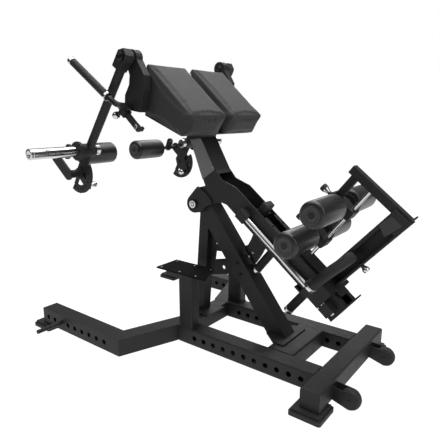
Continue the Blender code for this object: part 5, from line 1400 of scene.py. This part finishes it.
@dataclass
class Fasteners:
    """The visible bolts, with the sizes and places read from the photograph."""

    brace: Pairs = ((0.109, 0.409), (0.1265, 0.3575))
    brace_y: float = 0.040
    web: tuple[float, float, float] = (-0.0771, 0.004, 0.3902)
    rod_ends: tuple[float, float] = (0.2146, 0.7953)
    hub_y: float = 0.3847
    plate: tuple[float, float, float] = (0.171, -0.004, 0.4636)
    lug: tuple[float, float, float] = (0.1599, -0.0166, 0.4469)
    tread_x: tuple[float, ...] = (-0.212, -0.099, 0.000)
    tread_y: tuple[float, ...] = (-0.209, -0.099)
    tread_z: float = 0.3707
    pivot_y: float = 0.0733
    pivot_ring: Pairs = ((0.0120, -0.0006), (0.0185, -0.0006), (0.0185, 0.0026), (0.0120, 0.0026))
    pivot_bolt: Pairs = ((0.0, -0.0004), (0.0088, -0.0004), (0.0088, 0.0052), (0.0048, 0.0052),
                         (0.0044, 0.0026), (0.0, 0.0026))
    pivot_edge: float = 0.0012
    brace_radius: float = 0.0072
    web_radius: float = 0.0052
    beam_radius: float = 0.0085
    small_radius: float = 0.0042

    def side_bolts(self, side: Side) -> list[Bolt]:
        """The bolts of one side.

        Args:
            side: The side of the machine.

        Returns:
            The bolts.
        """
        s, tag = side.value, side.label
        out = ACROSS * s
        rows = [Bolt(f"brace_bolt_{tag}_{index}", Vector((x, s * self.brace_y, z)), out, self.brace_radius,
                     "base") for index, (x, z) in enumerate(self.brace)]
        x, y, z = self.web
        rows.append(Bolt(f"web_bolt_{tag}", Vector((x, s * y, z)), out, self.web_radius, "base"))
        for index, (place, finish) in enumerate(zip(self.rod_ends, (BOLT, ZINC))):
            way = BEAM_ALONG * (1 if index else -1)
            rows.append(Bolt(f"rod_bolt_{tag}_{index}", beam_point(place, GUIDE_ROD_HEIGHT, s * GUIDE_ROD_Y),
                             way, self.beam_radius, "beam", Drive.HEX, finish))
        rows.append(Bolt(f"hub_bolt_{tag}", ARM_HINGE + out * self.hub_y, out, self.beam_radius, "beam"))
        return rows

    def middle_bolts(self) -> list[Bolt]:
        """The small domed bolts of the selector and the tread.

        Returns:
            The bolts.
        """
        places = [("selector_bolt_plate", Vector(self.plate), -ACROSS, "beam"),
                  ("selector_bolt_lug", Vector(self.lug), -ACROSS, "base")]
        treads = [(x, y) for x in self.tread_x for y in self.tread_y]
        places += [(f"tread_bolt_{index}", Vector((x, y, self.tread_z)), UP, "base")
                   for index, (x, y) in enumerate(treads)]
        return [Bolt(name, seat, axis, self.small_radius, body, Drive.DOME, ZINC)
                for name, seat, axis, body in places]

    def build(self) -> None:
        """Makes every bolt and the bright ends of the main pivot."""
        for bolt in [*self.side_bolts(Side.NEAR), *self.side_bolts(Side.FAR), *self.middle_bolts()]:
            bolt.build()
        for side in Side:
            self.make_pivot_end(side)

    def make_pivot_end(self, side: Side) -> None:
        """A bright ring and bolt head on an end of the main pivot.

        Args:
            side: The side of the machine.
        """
        axis = ACROSS * side.value
        base = BEAM_PIVOT + axis * self.pivot_y
        ring, bolt = (rounded(shape, self.pivot_edge, 3) for shape in (self.pivot_ring, self.pivot_bolt))
        parts = [turned_piece("ring", looped(ring), base, axis), turned_piece("bolt", bolt, base, axis, 30)]
        dress(joined(f"pivot_ring_{side.label}", parts), CHROME, "base")


@dataclass
class Wheels:
    """The transport wheels: a grooved tyre and a dished hub."""

    hub_share: float = 0.62
    tread: Pairs = ((0.006, 1.0), (0.001, 0.62), (0.0, 0.30), (0.0, 0.12), (0.0012, 0.08))
    tread_edge: float = 0.0015
    bush: Pairs = ((0.0063, 0.95), (0.0120, 0.95), (0.0140, 0.60))
    rim: Pairs = ((0.005, 0.55), (0.003, 0.92), (0.0002, 0.92))
    hub_edge: float = 0.001

    def build(self) -> None:
        """Makes both wheels over their nodes."""
        for side in Side:
            node = f"wheel_{side.label}"
            low, high = (np.array(corner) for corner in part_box(node))
            base = Vector((low + high) / 2)
            radius, half = (high[2] - low[2]) / 2, (high[1] - low[1]) / 2
            self.make_tyre(node, base, radius, half)
            self.make_hub(node, base, radius, half)

    def make_tyre(self, node: str, base: Vector, radius: float, half: float) -> None:
        """The tyre: shoulders and a groove, as steps in from the rim at shares of half the width.

        Args:
            node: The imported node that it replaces.
            base: The wheel's centre.
            radius: The wheel's radius.
            half: Half its width.
        """
        shoulder = [(radius * self.hub_share, -half)]
        shoulder += [(radius - dip, -half * share) for dip, share in self.tread]
        profile = rounded([*shoulder, *((r, -h) for r, h in reversed(shoulder))], self.tread_edge, 2)
        tyre = turned_piece(f"{node}_tyre", looped(profile), base, ACROSS, 64)
        dress(tyre, RUBBER, carrier(node), node)

    def make_hub(self, node: str, base: Vector, radius: float, half: float) -> None:
        """The hub: a rim, a dished web and a bush on each face.

        Args:
            node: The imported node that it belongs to.
            base: The wheel's centre.
            radius: The wheel's radius.
            half: Half its width.
        """
        inner = radius * self.hub_share
        face = [(r, half * share) for r, share in self.bush]
        face += [(inner - dip, half * share) for dip, share in self.rim]
        profile = rounded([*face, *((r, -h) for r, h in reversed(face))], self.hub_edge, 2)
        dress(turned_piece(f"{node}_hub", looped(profile), base, ACROSS, 48), CAP, carrier(node))


@dataclass
class WeldBeads:
    """Beads where posts stand on the base tubes."""

    radius: float = 0.0028
    step: float = 0.0025
    lift: float = 0.0008
    upright_x: tuple[float, float] = (-0.1626, -0.1074)

    def loop(self, low: tuple[float, float], high: tuple[float, float], height: float) -> np.ndarray:
        """A closed rectangle with points about a step apart.

        Args:
            low: Its low corner in XY.
            high: Its high corner in XY.
            height: Its height.

        Returns:
            Rows of points.
        """
        corners = np.array([(low[0], low[1]), (high[0], low[1]), (high[0], high[1]), (low[0], high[1])])
        parts = []
        for start, end in zip(corners, np.roll(corners, -1, axis=0)):
            count = max(4, int(np.linalg.norm(end - start) / self.step))
            parts.append(start + (end - start) * np.linspace(0.0, 1.0, count, endpoint=False)[:, None])
        flat = np.concatenate(parts)
        return np.column_stack([flat, np.full(len(flat), height)])

    def build(self) -> None:
        """Makes the beads round the two step posts and the upright's foot."""
        for node in ("step_post_near", "step_post_far", "upright"):
            low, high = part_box(node)
            start, end = self.upright_x if node == "upright" else (low.x, high.x)
            path = self.loop((start, low.y), (end, high.y), low.z + self.lift)
            bead = swept_piece(f"weld_{node}", path, self.radius, 8, closed=True)
            dress(bead, POWDER, "base")


@dataclass
class PadBoards:
    """The board behind each pad, which its upholstery is stapled to."""

    thickness: float = 0.010
    low: tuple[float, float] = (-0.2335, 1.0950)
    high: tuple[float, float] = (-0.2095, 1.2760)
    reach: tuple[float, float] = (0.034, 0.2765)
    bevel: float = 0.002

    def build(self) -> None:
        """Makes a board along the rear face of each pad."""
        low, high = np.array(self.low), np.array(self.high)
        step = high - low
        out = np.array((-step[1], step[0])) / np.linalg.norm(step) * self.thickness
        corners = np.array([low, high, high + out, low + out])
        outline = np.column_stack([corners[:, 0], np.zeros(4), corners[:, 1]])
        for side in Side:
            near, far = sorted(side.value * y for y in self.reach)
            dress(plate_piece(f"pad_board_{side.label}", outline, near, far, self.bevel), PLUG, "beam")


@dataclass
class Fittings:
    """The side handles, the rack bars' bands, the clamps' knobs and the foot arm's panel."""

    handle: tuple[tuple[float, float, float], ...] = (
        (0.6705, 0.226, 0.150), (0.6712, 0.280, 0.152), (0.680, 0.335, 0.105), (0.688, 0.392, 0.030))
    handle_radius: float = 0.0225
    ring_length: float = 0.0145
    ring_start: float = 0.010
    ring_proud: float = 0.0012
    ring_edge: float = 0.0020
    rack_middle: tuple[float, float] = (-0.243, 1.0665)
    rack_slope: float = math.radians(41.4)
    rack_y: float = 0.341
    band: tuple[float, float] = (0.047, 0.063)
    band_half: float = 0.0108
    band_bevel: float = 0.0012
    clamp_place: float = -0.039
    clamp_way: tuple[float, float, float] = (-0.024, 0.0, -0.006)
    clamp_reach: float = 0.0475
    knob: Pairs = ((0.0, 0.0), (0.0118, 0.0), (0.0150, 0.004), (0.0165, 0.008))
    dome: tuple[float, float, float] = (0.0165, 0.016, 0.010)
    panel: Pairs = ((0.6690, 0.5560), (0.6825, 0.6130), (0.7330, 0.6130), (0.7165, 0.5360))
    panel_y: tuple[float, float] = (-0.0288, -0.0272)
    panel_bevel: float = 0.0005

    def rack_point(self, along: float, across: float) -> Vector:
        """A point on a rack bar's middle line."""
        x, z = self.rack_middle
        return Vector((x + along * math.cos(self.rack_slope), across, z - along * math.sin(self.rack_slope)))

    def build(self) -> None:
        """Makes the fittings of both sides."""
        for side in Side:
            self.make_side_handle(side)
            self.make_rack_band(side)
            self.make_clamp_knob(side)
        self.make_panel()

    def make_side_handle(self, side: Side) -> None:
        """The bent tube from the foot arm to the carriage's side, with a bright ring round its end.

        Its path is the cubic curve over four corners.

        Args:
            side: The side of the machine.
        """
        corners = np.array([beam_point(a, h, side.value * y) for a, h, y in self.handle])
        t = np.linspace(0.0, 1.0, 25)[:, None]
        path = (1 - t) ** 3 * corners[0] + 3 * (1 - t) ** 2 * t * corners[1]
        path = path + 3 * (1 - t) * t ** 2 * corners[2] + t ** 3 * corners[3]
        name = f"side_handle_{side.label}"
        dress(swept_piece(name, path, self.handle_radius, 32), POWDER, "carriage")
        way = Vector(path[0] - path[1]).normalized()
        r, length = self.handle_radius + self.ring_proud, self.ring_length
        profile = rounded([(0.0, 0.0), (r, 0.0), (r, length), (0.0, length)], self.ring_edge)
        piece = turned_piece(f"{name}_ring", profile, Vector(path[0]) - way * self.ring_start, way, 48)
        dress(piece, CHROME, "carriage")

    def make_rack_band(self, side: Side) -> None:
        """A bright square band near the rack bar's lower end.

        Args:
            side: The side of the machine.
        """
        half = self.band_half
        start, end = (self.rack_point(along, side.value * self.rack_y) for along in self.band)
        up = ACROSS.cross((end - start).normalized()) * half
        outline = np.array([start + up, start - up, end - up, end + up])
        dress(plate_piece(f"rack_band_{side.label}", outline, -half, half, self.band_bevel), CHROME, "beam")

    def make_clamp_knob(self, side: Side) -> None:
        """The bright domed knob that tightens the hand grip's clamp.

        Args:
            side: The side of the machine.
        """
        start = self.rack_point(self.clamp_place, side.value * self.rack_y)
        way = Vector(self.clamp_way).normalized()
        width, foot, rise = self.dome
        dome = [(width * math.cos(a), foot + rise * math.sin(a)) for a in np.linspace(0.0, np.pi / 2, 8)]
        base = start + way * self.clamp_reach
        piece = turned_piece(f"clamp_knob_{side.label}", [*self.knob, *dome], base, way)
        dress(piece, CHROME, carrier(f"hand_grip_{side.label}"))

    def make_panel(self) -> None:
        """The satin panel on the closed top of the foot arm."""
        outline = np.array([beam_point(a, h) for a, h in self.panel])
        dress(plate_piece("foot_arm_panel", outline, *self.panel_y, self.panel_bevel), PANEL, "carriage")


@dataclass
class NamePlate:
    """The bare plate's raised border and its corner rivets."""

    outline: Pairs = ((-0.204, 0.222), (-0.161, 0.268), (-0.012, 0.209), (-0.036, 0.126))
    face: float = -0.0578
    border_share: float = 0.09
    rivet_share: float = 0.17
    bead: float = 0.0007
    rivet: float = 0.0022

    def build(self) -> None:
        """Makes the border as a thin bead inside the plate's edge, and the rivets."""
        corners = np.array(self.outline)
        middle = corners.mean(axis=0)
        inner = corners + (middle - corners) * self.border_share
        parts = []
        for start, end in zip(inner, np.roll(inner, -1, axis=0)):
            parts.append(start + (end - start) * np.linspace(0.0, 1.0, 24, endpoint=False)[:, None])
        path = np.array([beam_point(a, h, self.face) for a, h in np.concatenate(parts)])
        dress(swept_piece("name_plate_border", path, self.bead, 8, closed=True), PLATE, "beam")
        rivets = corners + (middle - corners) * self.rivet_share
        for index, (along, height) in enumerate(rivets):
            Bolt(f"name_plate_rivet_{index}", beam_point(along, height, self.face), -ACROSS,
                 self.rivet, "beam", Drive.DOME, ZINC).build()


def main() -> None:
    """Builds the machine's looks in order."""
    logging.basicConfig(level=logging.INFO, format="%(message)s")
    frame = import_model()
    for assembly in (Studio(), Frame(frame), Pads(), Rollers(), Grips(), BrightParts(), PinKnobs(),
                     Fasteners(), Wheels(), WeldBeads(), PadBoards(), Fittings(), NamePlate()):
        assembly.build()
        LOG.info("%s done", type(assembly).__name__)
    bpy.context.view_layer.update()


if __name__ == "__main__":
    main()
